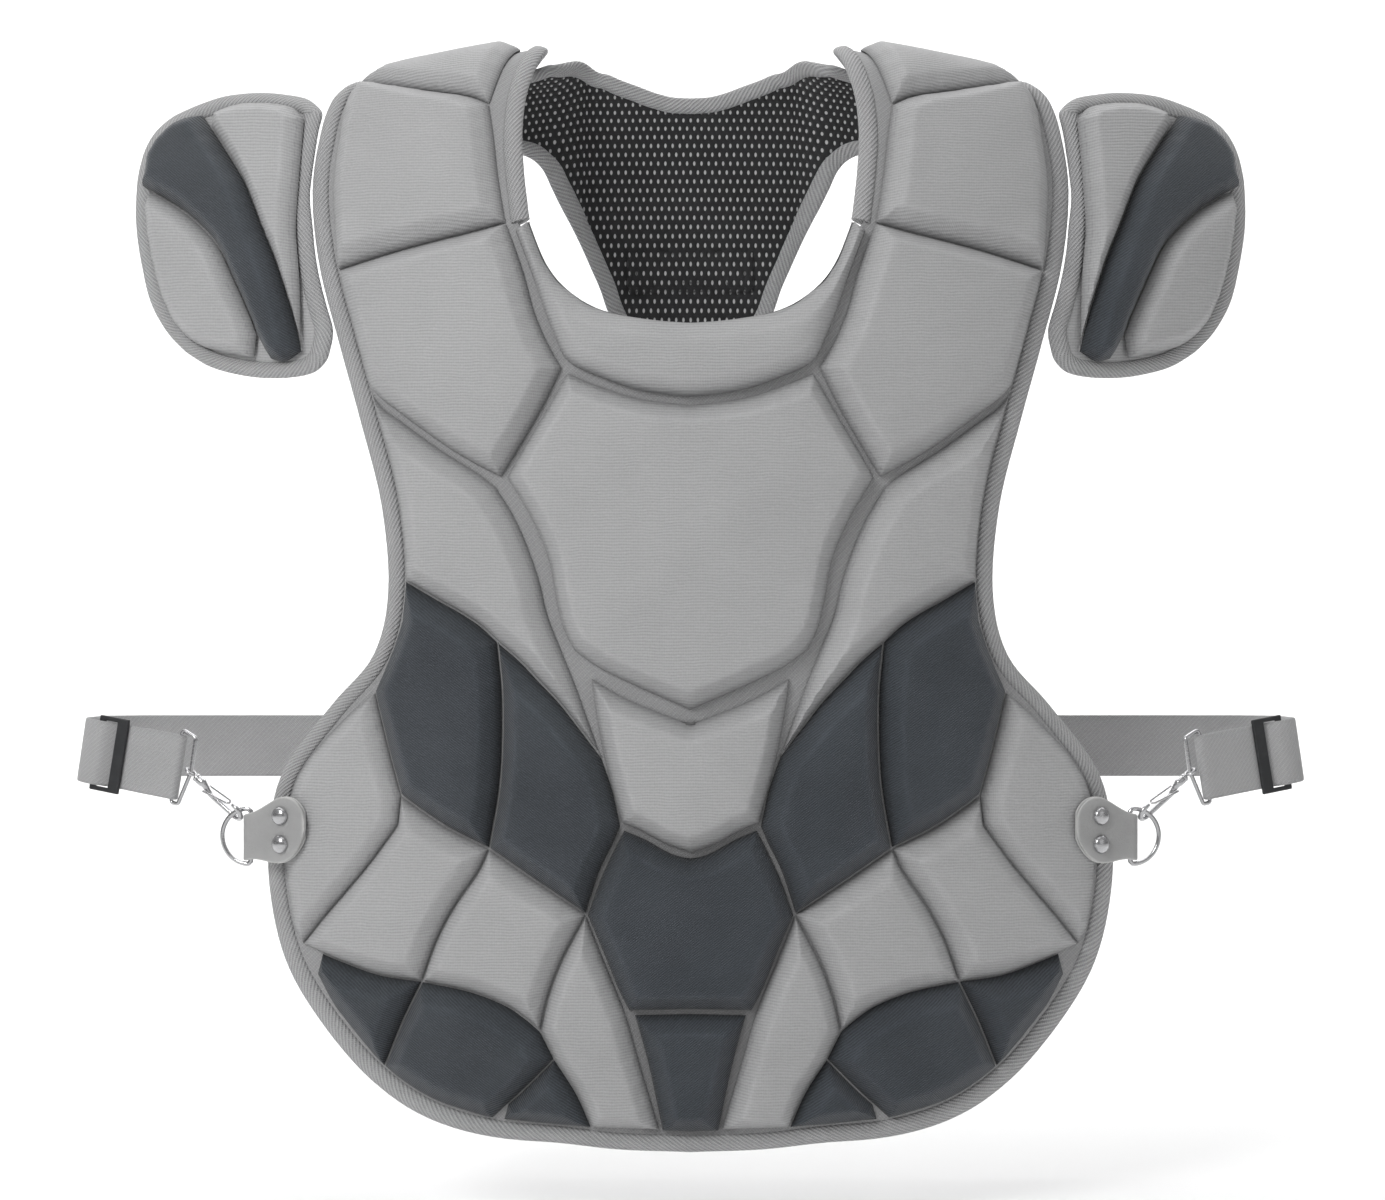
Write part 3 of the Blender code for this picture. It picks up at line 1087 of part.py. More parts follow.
def add_rivets(word, side):
    """Two domed rivets on the tab, one over the other."""
    at = seat([TAB_AT])[0]
    seat_height = TAB_LEVEL + layer_height(RIVET_IN, RING_WIRE + FIT_GAP + TAB_THICK / 2) + TAB_THICK / 2 + FIT_GAP
    for order, place_down in (("upper", -0.5), ("lower", 0.5)):
        across = at[0] - RIVET_IN
        down = at[1] + place_down * RIVET_APART
        centre = raised(body_base, across, down, seat_height)
        normal = unit(raised(body_base, across, down, seat_height + 0.001) - centre)
        first = unit(np.cross(normal, [0.0, 0.0, 1.0]))
        second = np.cross(normal, first)
        angle = np.arange(12) * 2 * math.pi / 12
        circle = np.cos(angle)[:, None] * first + np.sin(angle)[:, None] * second
        rings = []
        for radius, height in ((1.0, 0.0), (1.0, 0.30), (0.80, 0.70), (0.35, 1.0)):
            rings.append(centre + circle * RIVET_RADIUS * radius + normal * RIVET_HEIGHT * height)
        sweep(f"rivet_{order}_{word}", mirrored(np.array(rings), side), "chrome")


def add_hardware():
    """Tab, rivets, ring, hook, gate, wire loop and slider on each side."""
    hook_points, hook_sizes = hook_path()
    for word, side in SIDES.items():
        add_tab(word, side)
        add_rivets(word, side)
        sweep(f"ring_{word}", mirrored(tube_rings(ring_path(), RING_WIRE, WIRE_SIDES, True), side), "chrome", True)
        sweep(f"hook_{word}", mirrored(tube_rings(hook_points, hook_sizes, WIRE_SIDES), side), "chrome")
        sweep(f"hook_gate_{word}", mirrored(tube_rings(gate_path(), GATE_WIRE, 5), side), "chrome")
        loop = rounded(loop_frame(), LOOP_BENDS, closed=True)
        sweep(f"wire_loop_{word}", mirrored(tube_rings(loop, LOOP_WIRE, WIRE_SIDES, True), side), "chrome", True)
        add_slider(word, side)


def main():
    """Builds the whole protector."""
    clear_scene()
    add_panel()
    add_panel_binding()
    add_front_pads()
    add_yoke()
    add_caps()
    add_strap()
    add_hardware()


main()
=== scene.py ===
"""A catcher's chest protector in cloth, foam, webbing, leather and chrome, built around its fixed frame.

Metres, +Z up; the front faces -Y, and +X is the right-hand side seen from the front.
Points of the front are given as the front view shows them: how far across, as a share of the half width,
and how far down from the peak of the shoulders, as a share of the height.
"""
import logging
import math
from dataclasses import dataclass
from enum import Enum
from typing import Callable, Sequence

import bpy
import numpy as np
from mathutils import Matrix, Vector
from mathutils.geometry import delaunay_2d_cdt


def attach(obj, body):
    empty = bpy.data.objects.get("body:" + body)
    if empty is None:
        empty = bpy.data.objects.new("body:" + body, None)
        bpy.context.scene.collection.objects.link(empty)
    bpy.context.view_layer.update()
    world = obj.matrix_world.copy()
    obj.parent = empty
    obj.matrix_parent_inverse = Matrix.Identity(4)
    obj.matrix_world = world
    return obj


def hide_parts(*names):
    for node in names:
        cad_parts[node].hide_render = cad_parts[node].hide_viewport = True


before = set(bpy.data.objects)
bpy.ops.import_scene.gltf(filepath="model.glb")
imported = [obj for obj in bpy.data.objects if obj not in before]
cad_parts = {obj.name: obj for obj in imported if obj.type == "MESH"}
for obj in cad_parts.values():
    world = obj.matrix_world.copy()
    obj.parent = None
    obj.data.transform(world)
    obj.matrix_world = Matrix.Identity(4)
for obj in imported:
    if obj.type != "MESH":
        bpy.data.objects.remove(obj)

LOG = logging.getLogger("chest_protector")
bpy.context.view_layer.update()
Array = np.ndarray
Socket = bpy.types.NodeSocket
Surface = Callable[[Array, Array], Array]
SIDES = {"left": -1.0, "right": 1.0}
FLIP = np.array([-1.0, 1.0])     # mirrors pairs in the middle plane
ON_EDGE = 1e-7                   # a distance under this is none
SEAM_STEPS = 8                   # steps between two points of a seam line
HELD_CORNER = 20.0               # a line's points stay on turns sharper than this, in degrees

# Profile of the shoulders and chest: length down from the ridge as a share of BodyForm.shoulder_run,
# and the lean of the surface in degrees (0 faces the front, 90 faces up, 180 faces the back)
PROFILE = (
    (-0.9, 178), (-0.55, 172), (-0.33, 160), (-0.2, 140), (-0.09, 112), (0.0, 90),
    (0.065, 66), (0.13, 45), (0.22, 30), (0.35, 20), (0.52, 11), (0.74, 4),
    (1.0, 0), (1.75, 0), (2.2, -5), (2.6, -10),
)

# Outline of the front panel: across and down along the neck, from the middle up to the ridge
NECK_EDGE = (
    (0.0, 0.254), (0.072, 0.252), (0.131, 0.249), (0.178, 0.246), (0.213, 0.242), (0.249, 0.236), (0.279, 0.227),
    (0.308, 0.218), (0.329, 0.207), (0.348, 0.194), (0.362, 0.183), (0.374, 0.171), (0.383, 0.157), (0.388, 0.142),
    (0.393, 0.126), (0.397, 0.108), (0.4, 0.09), (0.397, 0.067), (0.388, 0.045), (0.367, 0.022), (0.338, 0.004),
)
NECK_BOUND = 12          # first point of the neck's edge that is bound; the neck band covers those before it

# The same along the outer edge, from the ridge down past the armhole and the flank to the middle of the hem
ARM_EDGE = (
    (0.815, 0.04), (0.848, 0.054), (0.874, 0.081), (0.895, 0.135), (0.879, 0.202), (0.831, 0.274), (0.782, 0.342),
    (0.732, 0.418), (0.716, 0.495),
)
HEM_EDGE = (
    (0.751, 0.553), (0.85, 0.598), (0.961, 0.655), (0.996, 0.706), (0.996, 0.764), (0.959, 0.827), (0.879, 0.881),
    (0.758, 0.935), (0.617, 0.971), (0.435, 0.989), (0.213, 0.997), (0.0, 1.001),
)

# Behind the ridge: across, and the share of BodyForm.strap_back behind it, from the neck side round to the outer side
BACK_EDGE = (
    (0.35, 0.28), (0.395, 0.62), (0.434, 0.86), (0.49, 1.0), (0.585, 1.02),
    (0.68, 1.0), (0.745, 0.86), (0.785, 0.62), (0.802, 0.28),
)

# Rows of the yoke: across and down at the upper edge and at the lower edge
YOKE_ROWS = (
    (0.0, 0.052, 0.0, 0.295),
    (0.044, 0.051, 0.084, 0.293),
    (0.084, 0.047, 0.138, 0.285),
    (0.119, 0.042, 0.166, 0.267),
    (0.162, 0.036, 0.195, 0.245),
    (0.192, 0.031, 0.213, 0.225),
    (0.221, 0.028, 0.237, 0.204),
    (0.256, 0.018, 0.272, 0.174),
    (0.284, 0.013, 0.308, 0.147),
    (0.308, 0.01, 0.327, 0.132),
    (0.338, 0.01, 0.35, 0.114),
    (0.379, 0.015, 0.383, 0.103),
    (0.426, 0.021, 0.43, 0.099),
    (0.496, 0.032, 0.496, 0.099),
    (0.555, 0.042, 0.555, 0.097),
)

# Seam lines of the front: across and down at each point
LINES = {
    "shoulder_seam": ((0.798, 0.045), (0.737, 0.042), (0.591, 0.048), (0.52, 0.052), (0.473, 0.059)),
    "shoulder_neck": ((0.473, 0.059), (0.463, 0.085), (0.452, 0.122), (0.44, 0.151), (0.433, 0.165)),
    "shoulder_foot": ((0.433, 0.165), (0.52, 0.174), (0.614, 0.183), (0.709, 0.193), (0.831, 0.208)),
    "shoulder_arm": ((0.831, 0.208), (0.838, 0.167), (0.841, 0.129), (0.829, 0.093), (0.817, 0.065), (0.798, 0.045)),
    "chest_arm": ((0.831, 0.208), (0.822, 0.234), (0.805, 0.265), (0.775, 0.295)),
    "chest_foot": ((0.775, 0.295), (0.744, 0.317), (0.685, 0.336), (0.591, 0.362), (0.52, 0.379), (0.445, 0.394)),
    "chest_inner": ((0.445, 0.394), (0.397, 0.364), (0.343, 0.328), (0.301, 0.295)),
    "chest_neck": ((0.301, 0.295), (0.338, 0.27), (0.367, 0.243), (0.39, 0.211), (0.414, 0.184), (0.433, 0.165)),
    "band_foot": (
        (0.412, 0.172), (0.374, 0.211), (0.343, 0.245), (0.317, 0.27),
        (0.289, 0.29), (0.213, 0.304), (0.119, 0.316), (0.0, 0.322),
    ),
    "band_end": ((0.379, 0.163), (0.412, 0.172)),
    "band_top": (*NECK_EDGE[:10], (0.379, 0.163)),
    "sternum_top": ((0.289, 0.299), (0.213, 0.311), (0.119, 0.322), (0.0, 0.328)),
    "sternum_upper": ((0.433, 0.394), (0.388, 0.364), (0.338, 0.332), (0.289, 0.299)),
    "sternum_lower": (
        (0.275, 0.549), (0.301, 0.529), (0.317, 0.504), (0.334, 0.469), (0.362, 0.441), (0.397, 0.416), (0.433, 0.394),
    ),
    "sternum_foot": ((0.0, 0.603), (0.143, 0.579), (0.225, 0.563), (0.275, 0.549)),
    "point_top": ((0.235, 0.573), (0.143, 0.593), (0.0, 0.615)),
    "point_side": ((0.162, 0.704), (0.185, 0.674), (0.206, 0.643), (0.223, 0.607), (0.235, 0.573)),
    "point_foot": ((0.0, 0.731), (0.06, 0.723), (0.119, 0.711), (0.162, 0.704)),
    "rib_top": ((0.765, 0.31), (0.721, 0.331), (0.685, 0.341), (0.591, 0.367), (0.496, 0.39), (0.456, 0.402)),
    "rib_inner": (
        (0.456, 0.402), (0.412, 0.43), (0.381, 0.457), (0.355, 0.486), (0.336, 0.517),
        (0.308, 0.544), (0.27, 0.58), (0.239, 0.613), (0.209, 0.645),
    ),
    "rib_foot_inner": (
        (0.209, 0.645), (0.261, 0.619), (0.308, 0.596), (0.355, 0.577), (0.402, 0.558), (0.454, 0.541),
    ),
    "rib_foot_outer": ((0.454, 0.541), (0.496, 0.526), (0.544, 0.514), (0.591, 0.504), (0.671, 0.486)),
    "rib_arm": ((0.671, 0.486), (0.676, 0.45), (0.69, 0.414), (0.713, 0.369), (0.765, 0.31)),
    "dark_mid": ((0.454, 0.541), (0.442, 0.594), (0.447, 0.665), (0.473, 0.727)),
    "dark_outer_foot": ((0.473, 0.727), (0.567, 0.709), (0.638, 0.691), (0.68, 0.679)),
    "dark_outer_flank": ((0.68, 0.679), (0.709, 0.638), (0.742, 0.586)),
    "dark_outer_arm": ((0.742, 0.586), (0.702, 0.55), (0.678, 0.522), (0.671, 0.486)),
    "dark_inner_point": ((0.164, 0.707), (0.183, 0.674), (0.209, 0.645)),
    "dark_inner_belly": ((0.246, 0.786), (0.213, 0.748), (0.18, 0.722), (0.164, 0.707)),
    "dark_inner_foot": ((0.246, 0.786), (0.308, 0.77), (0.379, 0.752), (0.473, 0.727)),
    "belly_top": ((0.157, 0.71), (0.107, 0.718), (0.044, 0.731), (0.0, 0.736)),
    "belly_edge": ((0.157, 0.71), (0.18, 0.727), (0.213, 0.754), (0.244, 0.787)),
    "belly_side": ((0.244, 0.787), (0.209, 0.818), (0.171, 0.854), (0.145, 0.873)),
    "belly_foot": ((0.145, 0.873), (0.0, 0.872)),
    "tip_top": ((0.133, 0.876), (0.0, 0.875)),
    "tip_side": ((0.133, 0.876), (0.1, 0.922), (0.067, 0.981)),
    "tip_foot": ((0.067, 0.981), (0.0, 0.982)),
    "flank_top": ((0.798, 0.604), (0.742, 0.586)),
    "flank_lower": ((0.68, 0.679), (0.688, 0.706), (0.751, 0.739), (0.81, 0.766), (0.862, 0.789), (0.912, 0.813)),
    "flank_foot": ((0.912, 0.813), (0.936, 0.796)),
    "flank_outer": (
        (0.936, 0.796), (0.942, 0.778), (0.952, 0.746), (0.954, 0.71),
        (0.942, 0.674), (0.907, 0.65), (0.853, 0.626), (0.798, 0.604),
    ),
    "side_mid": ((0.631, 0.846), (0.596, 0.809), (0.553, 0.778), (0.499, 0.748), (0.473, 0.727)),
    "side_foot_outer": ((0.912, 0.813), (0.827, 0.827), (0.732, 0.84), (0.631, 0.846)),
    "side_foot_inner": ((0.631, 0.846), (0.52, 0.855), (0.438, 0.867), (0.39, 0.879), (0.353, 0.891)),
    "side_inner": ((0.353, 0.891), (0.334, 0.859), (0.301, 0.826), (0.246, 0.786)),
    "groin_inner": ((0.072, 0.98), (0.114, 0.926), (0.154, 0.874), (0.209, 0.822), (0.246, 0.786)),
    "groin_foot": ((0.232, 0.978), (0.072, 0.98)),
    "groin_upper": ((0.353, 0.891), (0.32, 0.916)),
    "groin_lower": ((0.32, 0.916), (0.268, 0.947), (0.232, 0.978)),
    "hem_outer_side": ((0.721, 0.924), (0.678, 0.883), (0.631, 0.846)),
    "hem_outer_top": ((0.866, 0.821), (0.827, 0.827), (0.732, 0.84), (0.631, 0.846)),
    "hem_outer_low": ((0.721, 0.924), (0.78, 0.897), (0.835, 0.87), (0.862, 0.852), (0.878, 0.84)),
    "hem_outer_tip": ((0.878, 0.84), (0.866, 0.821)),
    "hem_inner_side": ((0.468, 0.97), (0.388, 0.942), (0.32, 0.916)),
    "hem_middle_foot": ((0.721, 0.924), (0.673, 0.938), (0.591, 0.955), (0.468, 0.97)),
    "hem_inner_foot": ((0.232, 0.978), (0.355, 0.974), (0.44, 0.97)),
    "hem_inner_tip": ((0.44, 0.97), (0.43, 0.9565)),
    "hem_inner_arm": ((0.43, 0.9565), (0.388, 0.942), (0.32, 0.916)),
}

# Edge of the dark middle at the panel's front: down, and across
BELLY_EDGE = ((0.7, 0.19), (0.787, 0.275), (0.873, 0.18), (1.0, 0.095))

# Pads on both sides: finish, height, and their four sides, each a chain of seam lines ("-" runs it backwards)
SIDE_PADS = {
    "shoulder_pad": ("grey", 0.011, "shoulder_seam", "shoulder_neck", "shoulder_foot", "shoulder_arm"),
    "upper_chest": ("grey", 0.0125, "chest_arm chest_foot", "chest_inner", "chest_neck", "shoulder_foot"),
    "rib_pad": ("grey", 0.0115, "rib_top", "rib_inner", "rib_foot_inner rib_foot_outer", "rib_arm"),
    "dark_outer": (
        "slate", 0.012, "-rib_foot_outer", "dark_mid", "dark_outer_foot",
        "dark_outer_flank dark_outer_arm",
    ),
    "dark_inner": (
        "slate", 0.0125, "-rib_foot_inner", "-dark_inner_point -dark_inner_belly", "dark_inner_foot",
        "-dark_mid",
    ),
    "flank_pad": ("grey", 0.007, "flank_top", "-dark_outer_flank flank_lower", "flank_foot", "flank_outer"),
    "side_outer": ("grey", 0.0105, "-dark_outer_foot", "-side_mid", "-side_foot_outer", "-flank_lower"),
    "side_inner": ("grey", 0.0105, "-dark_inner_foot", "-side_inner", "-side_foot_inner", "side_mid"),
    "groin_pad": ("grey", 0.01, "-groin_inner", "-groin_foot", "-groin_lower -groin_upper", "side_inner"),
    "hem_outer": ("slate", 0.01, "hem_outer_top", "-hem_outer_side", "hem_outer_low", "hem_outer_tip"),
    "hem_middle": (
        "slate", 0.01, "side_foot_inner groin_upper", "-hem_inner_side", "-hem_middle_foot",
        "hem_outer_side",
    ),
    "hem_inner": ("slate", 0.0095, "groin_lower", "hem_inner_foot", "hem_inner_tip", "hem_inner_arm"),
}

# Pads across the middle: finish, height, and the half lines of the top, the side from top to foot, and the foot
CENTRE_PADS = {
    "neck_band": ("grey", 0.0115, "band_top", "band_end", "band_foot"),
    "sternum_pad": ("grey", 0.0135, "sternum_top", "-sternum_upper -sternum_lower", "sternum_foot"),
    "sternum_point": ("grey", 0.0125, "point_top", "-point_side", "point_foot"),
    "belly_pad": ("slate", 0.012, "belly_top", "belly_edge belly_side", "belly_foot"),
    "belly_tip": ("slate", 0.01, "tip_top", "tip_side", "tip_foot"),
}

# Pad over the ridge of a shoulder: across, and length down from the ridge as a share of BodyForm.shoulder_run
RIDGE_NECK = ((0.435, 0.085), (0.398, 0.0), (0.405, -0.087), (0.452, -0.18), (0.5, -0.235))
RIDGE_ARM = ((0.68, -0.235), (0.728, -0.18), (0.745, -0.087), (0.758, 0.0))

# The two long sides of a cap's bar, without their ends
BAR_OUTER = ((1.239, 0.143), (1.185, 0.156), (1.133, 0.174), (1.1, 0.191), (1.072, 0.214), (1.034, 0.246))
BAR_INNER = (
    (0.909, 0.281), (0.923, 0.258), (0.947, 0.228), (0.975, 0.196),
    (1.008, 0.165), (1.032, 0.141), (1.053, 0.123), (1.1, 0.094),
)

# Outline and seams of a shoulder cap, in the front view's shares
CAP_LINES = {
    "top": (
        (0.871, 0.063), (0.904, 0.052), (0.952, 0.048), (1.018, 0.046), (1.1, 0.049), (1.171, 0.058),
        (1.223, 0.067),
    ),
    "outer": (
        (1.223, 0.067), (1.258, 0.078), (1.287, 0.094), (1.305, 0.116), (1.312, 0.138),
        (1.312, 0.169), (1.298, 0.205), (1.277, 0.237), (1.239, 0.263), (1.195, 0.281),
    ),
    "foot": (
        (1.195, 0.281), (1.138, 0.294), (1.072, 0.301), (1.008, 0.304), (0.938, 0.303), (0.89, 0.298),
        (0.862, 0.287),
    ),
    "bar_outer": ((1.287, 0.133), *BAR_OUTER, (1.008, 0.271), (0.982, 0.288)),
    "bar_foot": ((0.982, 0.288), (0.947, 0.29), (0.909, 0.281)),
    "bar_inner": (*BAR_INNER, (1.143, 0.069)),
    "bar_top": ((1.143, 0.069), (1.195, 0.073), (1.239, 0.085), (1.272, 0.103), (1.287, 0.133)),
    "cell_top": ((1.12, 0.067), (1.062, 0.059), (0.989, 0.058), (0.933, 0.062), (0.904, 0.073)),
    "cell_arm": ((0.904, 0.073), (0.914, 0.116), (0.923, 0.169), (0.915, 0.214), (0.909, 0.281)),
    "cell_bar": (*BAR_INNER, (1.125, 0.08)),
    "cell_tip": ((1.125, 0.08), (1.12, 0.067)),
    "edge_bar": ((1.015, 0.266), *BAR_OUTER[::-1], (1.268, 0.137)),
    "edge_tip": ((1.268, 0.137), (1.281, 0.15)),
    "edge_out": (
        (1.281, 0.15), (1.279, 0.162), (1.263, 0.2), (1.237, 0.234),
        (1.204, 0.258), (1.147, 0.276), (1.053, 0.285), (1.022, 0.287),
    ),
    "edge_low": ((1.022, 0.287), (1.015, 0.266)),
}
CAP_JOINT_DOWN = (0.262, 0.24, 0.215, 0.19, 0.165, 0.14, 0.115, 0.095, 0.08)
CAP_PADS = {
    "cap_bar": ("slate", 0.0095, "bar_outer", "bar_foot", "bar_inner", "bar_top"),
    "cap_inner": ("grey", 0.008, "cell_top", "cell_arm", "cell_bar", "cell_tip"),
    "cap_outer": ("grey", 0.008, "edge_bar", "edge_tip", "edge_out", "edge_low"),
}

# Corners of the wire loop, from the middle of the hook's eye: away from the eye, and along the held side
LOOP_CORNERS = ((0.0, 0.0), (0.0003, 0.0182), (0.0094, 0.0213), (0.0094, -0.0176), (0.005, -0.0176))
LOOP_BENDS = (0.003, 0.002, 0.0018, 0.0015, 0.0015)

# Lights: name, place, aim, width and watts
LIGHTS = (
    ("key", (-1.3, -1.9, 1.1), (0.0, 0.0, -0.25), 1.0, 30.0),
    ("fill", (1.7, -1.8, 0.3), (0.0, 0.0, -0.3), 1.6, 3.0),
    ("top", (0.0, -0.2, 1.8), (0.0, 0.0, -0.2), 1.2, 7.0),
    ("back", (0.0, 1.3, 1.6), (0.0, 2.6, 0.0), 2.5, 60.0),
)


class Layout(Enum):
    """How a pad's top rises from its seams."""

    CELL = "a straight slope up to a flat top"
    ROLL = "a round roll"


class Weave(Enum):
    """How the threads of a cloth lie."""

    RIB = "fine ribs across"
    TWILL = "slanting ribs"
    PLAIN = "over and under"


@dataclass
class BodyForm:
    """The worn form under the front, the shoulders and the back: a profile that is spread and wrapped to the sides."""

    half_width: float = 0.212
    height: float = 0.556
    peak: float = 0.01
    flare: float = 0.625
    flare_level: float = -0.27
    chest_front: float = -0.075
    wrap_depth: float = 0.068
    wrap_power: float = 2.2
    wrap_run: float = 0.085
    shoulder_run: float = 0.23
    ridge_level: float = 0.008
    ridge_start: float = 0.068
    ridge_slope: float = 0.208
    ridge_softness: float = 0.012
    strap_back: float = 0.072

    def __post_init__(self) -> None:
        """Walks the profile in small steps and keeps its length, drop and depth at each."""
        table = np.array(PROFILE)
        self.run = np.arange(table[0, 0], table[-1, 0], 0.002) * self.shoulder_run
        lean = np.radians(np.interp(self.run / self.shoulder_run, table[:, 0], table[:, 1]))
        step = self.run[1] - self.run[0]
        drop = np.cumsum(np.cos(lean)) * step
        depth = -np.cumsum(np.sin(lean)) * step
        self.drop = drop - np.interp(0.0, self.run, drop)
        self.depth = depth - np.interp(self.shoulder_run, self.run, depth)

    def ridge(self, across: Array) -> Array:
        """Height of the shoulder ridge: level over the neck, then a steady slope, with a soft bend between.

        Args:
            across: Distances from the middle.

        Returns:
            The ridge's heights as the front view shows them.
        """
        past = np.abs(across) - self.ridge_start
        return self.ridge_level - self.ridge_slope * 0.5 * (past + np.sqrt(past**2 + self.ridge_softness**2))

    def place(self, across: Array, level: Array, depth: Array) -> Array:
        """Spreads a front view with depth: the share is one plus the flare times the depth.

        Args:
            across: Distances from the middle in the front view.
            level: Heights in the front view.
            depth: Depths behind the flat of the chest.

        Returns:
            Points in space, with x, y and z last.
        """
        spread = 1.0 + self.flare * depth
        level = self.flare_level + (level - self.flare_level) * spread
        return beside(across * spread, self.chest_front + depth, level)

    def base(self, across: Array, run: Array) -> Array:
        """The form's surface: the profile's drop and depth, and a wrap that grows with a power of the distance across.

        Args:
            across: Distances from the middle.
            run: Lengths down from the ridge.

        Returns:
            Points in space.
        """
        share = limited((run + self.wrap_run) / (2 * self.wrap_run))
        share = eased(share)
        wrap = self.wrap_depth * (np.abs(across) / self.half_width) ** self.wrap_power * share
        level = self.ridge(across) - np.interp(run, self.run, self.drop)
        return self.place(across, level, np.interp(run, self.run, self.depth) + wrap)

    def seat(self, points: Sequence, behind: bool = False) -> Array:
        """Turns front-view shares into metres across and length down from the ridge.

        Args:
            points: Pairs of shares.
            behind: Whether they lie behind the ridge.

        Returns:
            Pairs of metres.
        """
        pairs = np.array(points, dtype=float)
        across = pairs[:, 0] * self.half_width
        drop = self.ridge(across) - (self.peak - pairs[:, 1] * self.height)
        side = self.run < 0 if behind else self.run > 0
        order = np.argsort(self.drop[side])
        run = np.interp(np.maximum(drop, 0.0), self.drop[side][order], self.run[side][order])
        return beside(across, run)

    def cloth(self, across: Array, run: Array) -> Array:
        """Where a point lies on the cloth, so that a straight thread runs level across the front."""
        return beside(across, run - self.ridge(across))


@dataclass
class CapForm:
    """The form of a shoulder cap: it goes on from the armhole's edge and turns back round the arm."""

    body: BodyForm
    slope: float = 0.62
    curve: float = 2.2

    def __post_init__(self) -> None:
        """Fits smooth curves to the armhole's edge: its depth and its distance across at each level."""
        across, down = np.array(ARM_EDGE).T
        points = self.body.seat(ARM_EDGE)
        depth = self.body.base(points[:, 0], points[:, 1])[:, 1] - self.body.chest_front
        self.edge_level = self.body.peak - down * self.body.height
        self.edge_across = across * self.body.half_width
        self.edge_depth = np.polyfit(self.edge_level, depth, 3)
        self.edge_line = np.polyfit(self.edge_level, self.edge_across, 3)

    def base(self, across: Array, down: Array) -> Array:
        """The cap's surface: its depth grows with the distance past the armhole and with that distance squared.

        Args:
            across: Distances from the middle.
            down: Distances below the level of the origin.

        Returns:
            Points in space.
        """
        past = across - np.polyval(self.edge_line, -down)
        depth = np.polyval(self.edge_depth, -down) + self.slope * past + self.curve * past * np.abs(past)
        return self.body.place(across, -down, depth)

    def seat(self, points: Sequence) -> Array:
        """Front-view shares as metres across and down."""
        pairs = np.array(points, dtype=float)
        return beside(pairs[:, 0] * self.body.half_width, pairs[:, 1] * self.body.height - self.body.peak)

    def cloth(self, across: Array, down: Array) -> Array:
        """Where a point lies on the cloth."""
        return beside(across, down)


def eased(share: Array) -> Array:
    """A share from 0 to 1 with a level start and a level end."""
    return share * share * (3 - 2 * share)


def bell(value: Array, middle: float, half: float) -> Array:
    """One at the middle, falling off on both sides over a half width."""
    return np.exp(-((value - middle) / half) ** 2)


def tinted(colour: Sequence[float], share: float) -> tuple[float, ...]:
    """A colour times a share, held at one."""
    return tuple(min(1.0, share * part) for part in colour)


def length_at(points: Array) -> Array:
    """The length along a line at each of its points."""
    return np.concatenate([[0.0], np.cumsum(np.linalg.norm(np.diff(points, axis=0), axis=1))])


def square_to(vector: Array, axis: Array) -> Array:
    """The part of a vector that is square to an axis, at length one."""
    return unit(vector - axis * np.dot(axis, vector))


def heading(angle: float) -> Array:
    """The level direction at an angle from +X."""
    return np.array([math.cos(angle), math.sin(angle), 0.0])


def limited(value: Array) -> Array:
    """Values held between 0 and 1."""
    return np.clip(value, 0.0, 1.0)


def beside(*parts: Array) -> Array:
    """Arrays side by side, along a new last axis."""
    return np.stack(parts, axis=-1)


def placed(name: str, data: object) -> bpy.types.Object:
    """A new object in the scene."""
    item = bpy.data.objects.new(name, data)
    bpy.context.scene.collection.objects.link(item)
    return item


def looped(ring: Array) -> Array:
    """A ring with its first point again at its end."""
    return np.vstack([ring, ring[:1]])


def border_of(grid: Array) -> Array:
    """The points round a grid's border, from its first corner back to it."""
    return np.concatenate([grid[:-1, 0], grid[-1, :-1], grid[:0:-1, -1], grid[0, ::-1]])


def sharp_corners(points: Array, angle: float) -> Array:
    """Finds where a line of pairs turns sharply.

    Args:
        points: Pairs along the line.
        angle: The least turn in degrees.

    Returns:
        The places of those points in the line.
    """
    step = np.diff(points, axis=0)
    heading = np.arctan2(step[:, 1], step[:, 0])
    turn = np.abs((np.diff(heading) + math.pi) % (2 * math.pi) - math.pi)
    return 1 + np.flatnonzero(turn > math.radians(angle))


def raised(base: Surface, across: Array, down: Array, out: Array) -> Array:
    """Points over a surface: each goes out along the cross product of the surface's two directions.

    Args:
        base: The surface.
        across: Distances across.
        down: Distances down.
        out: Heights over the surface.

    Returns:
        Points in space.
    """
    reach = 0.0005
    along_across = base(across + reach, down) - base(across - reach, down)
    along_down = base(across, down + reach) - base(across, down - reach)
    normal = np.cross(along_down, along_across)
    normal /= np.linalg.norm(normal, axis=-1, keepdims=True)
    return base(across, down) + normal * np.asarray(out)[..., None]


def smooth_line(points: Array, corner: float = 26.0) -> Array:
    """A curve through points, with cubic spans between them, and sharp where the line turns by more than a corner.

    Args:
        points: Pairs along the line.
        corner: Smallest turn, in degrees, that stays sharp.

    Returns:
        Pairs along the curve.
    """
    line = np.asarray(points, dtype=float)
    stops = [0, *sharp_corners(line, corner), len(line) - 1]
    curves = [spline(line[start:end + 1], SEAM_STEPS)[:-1] for start, end in zip(stops[:-1], stops[1:])]
    return np.vstack([*curves, line[-1:]])


def chain(lines: dict, names: str) -> Array:
    """Joins smooth seam lines end to end; a name that starts with "-" runs backwards.

    Args:
        lines: The seam lines by name.
        names: The names in order, with spaces between.

    Returns:
        Pairs of front-view shares.
    """
    parts = []
    for name in names.split():
        line = smooth_line(lines[name.lstrip("-")])
        parts.append(line[::-1] if name.startswith("-") else line)
    return np.vstack([parts[0], *(part[1:] for part in parts[1:])])


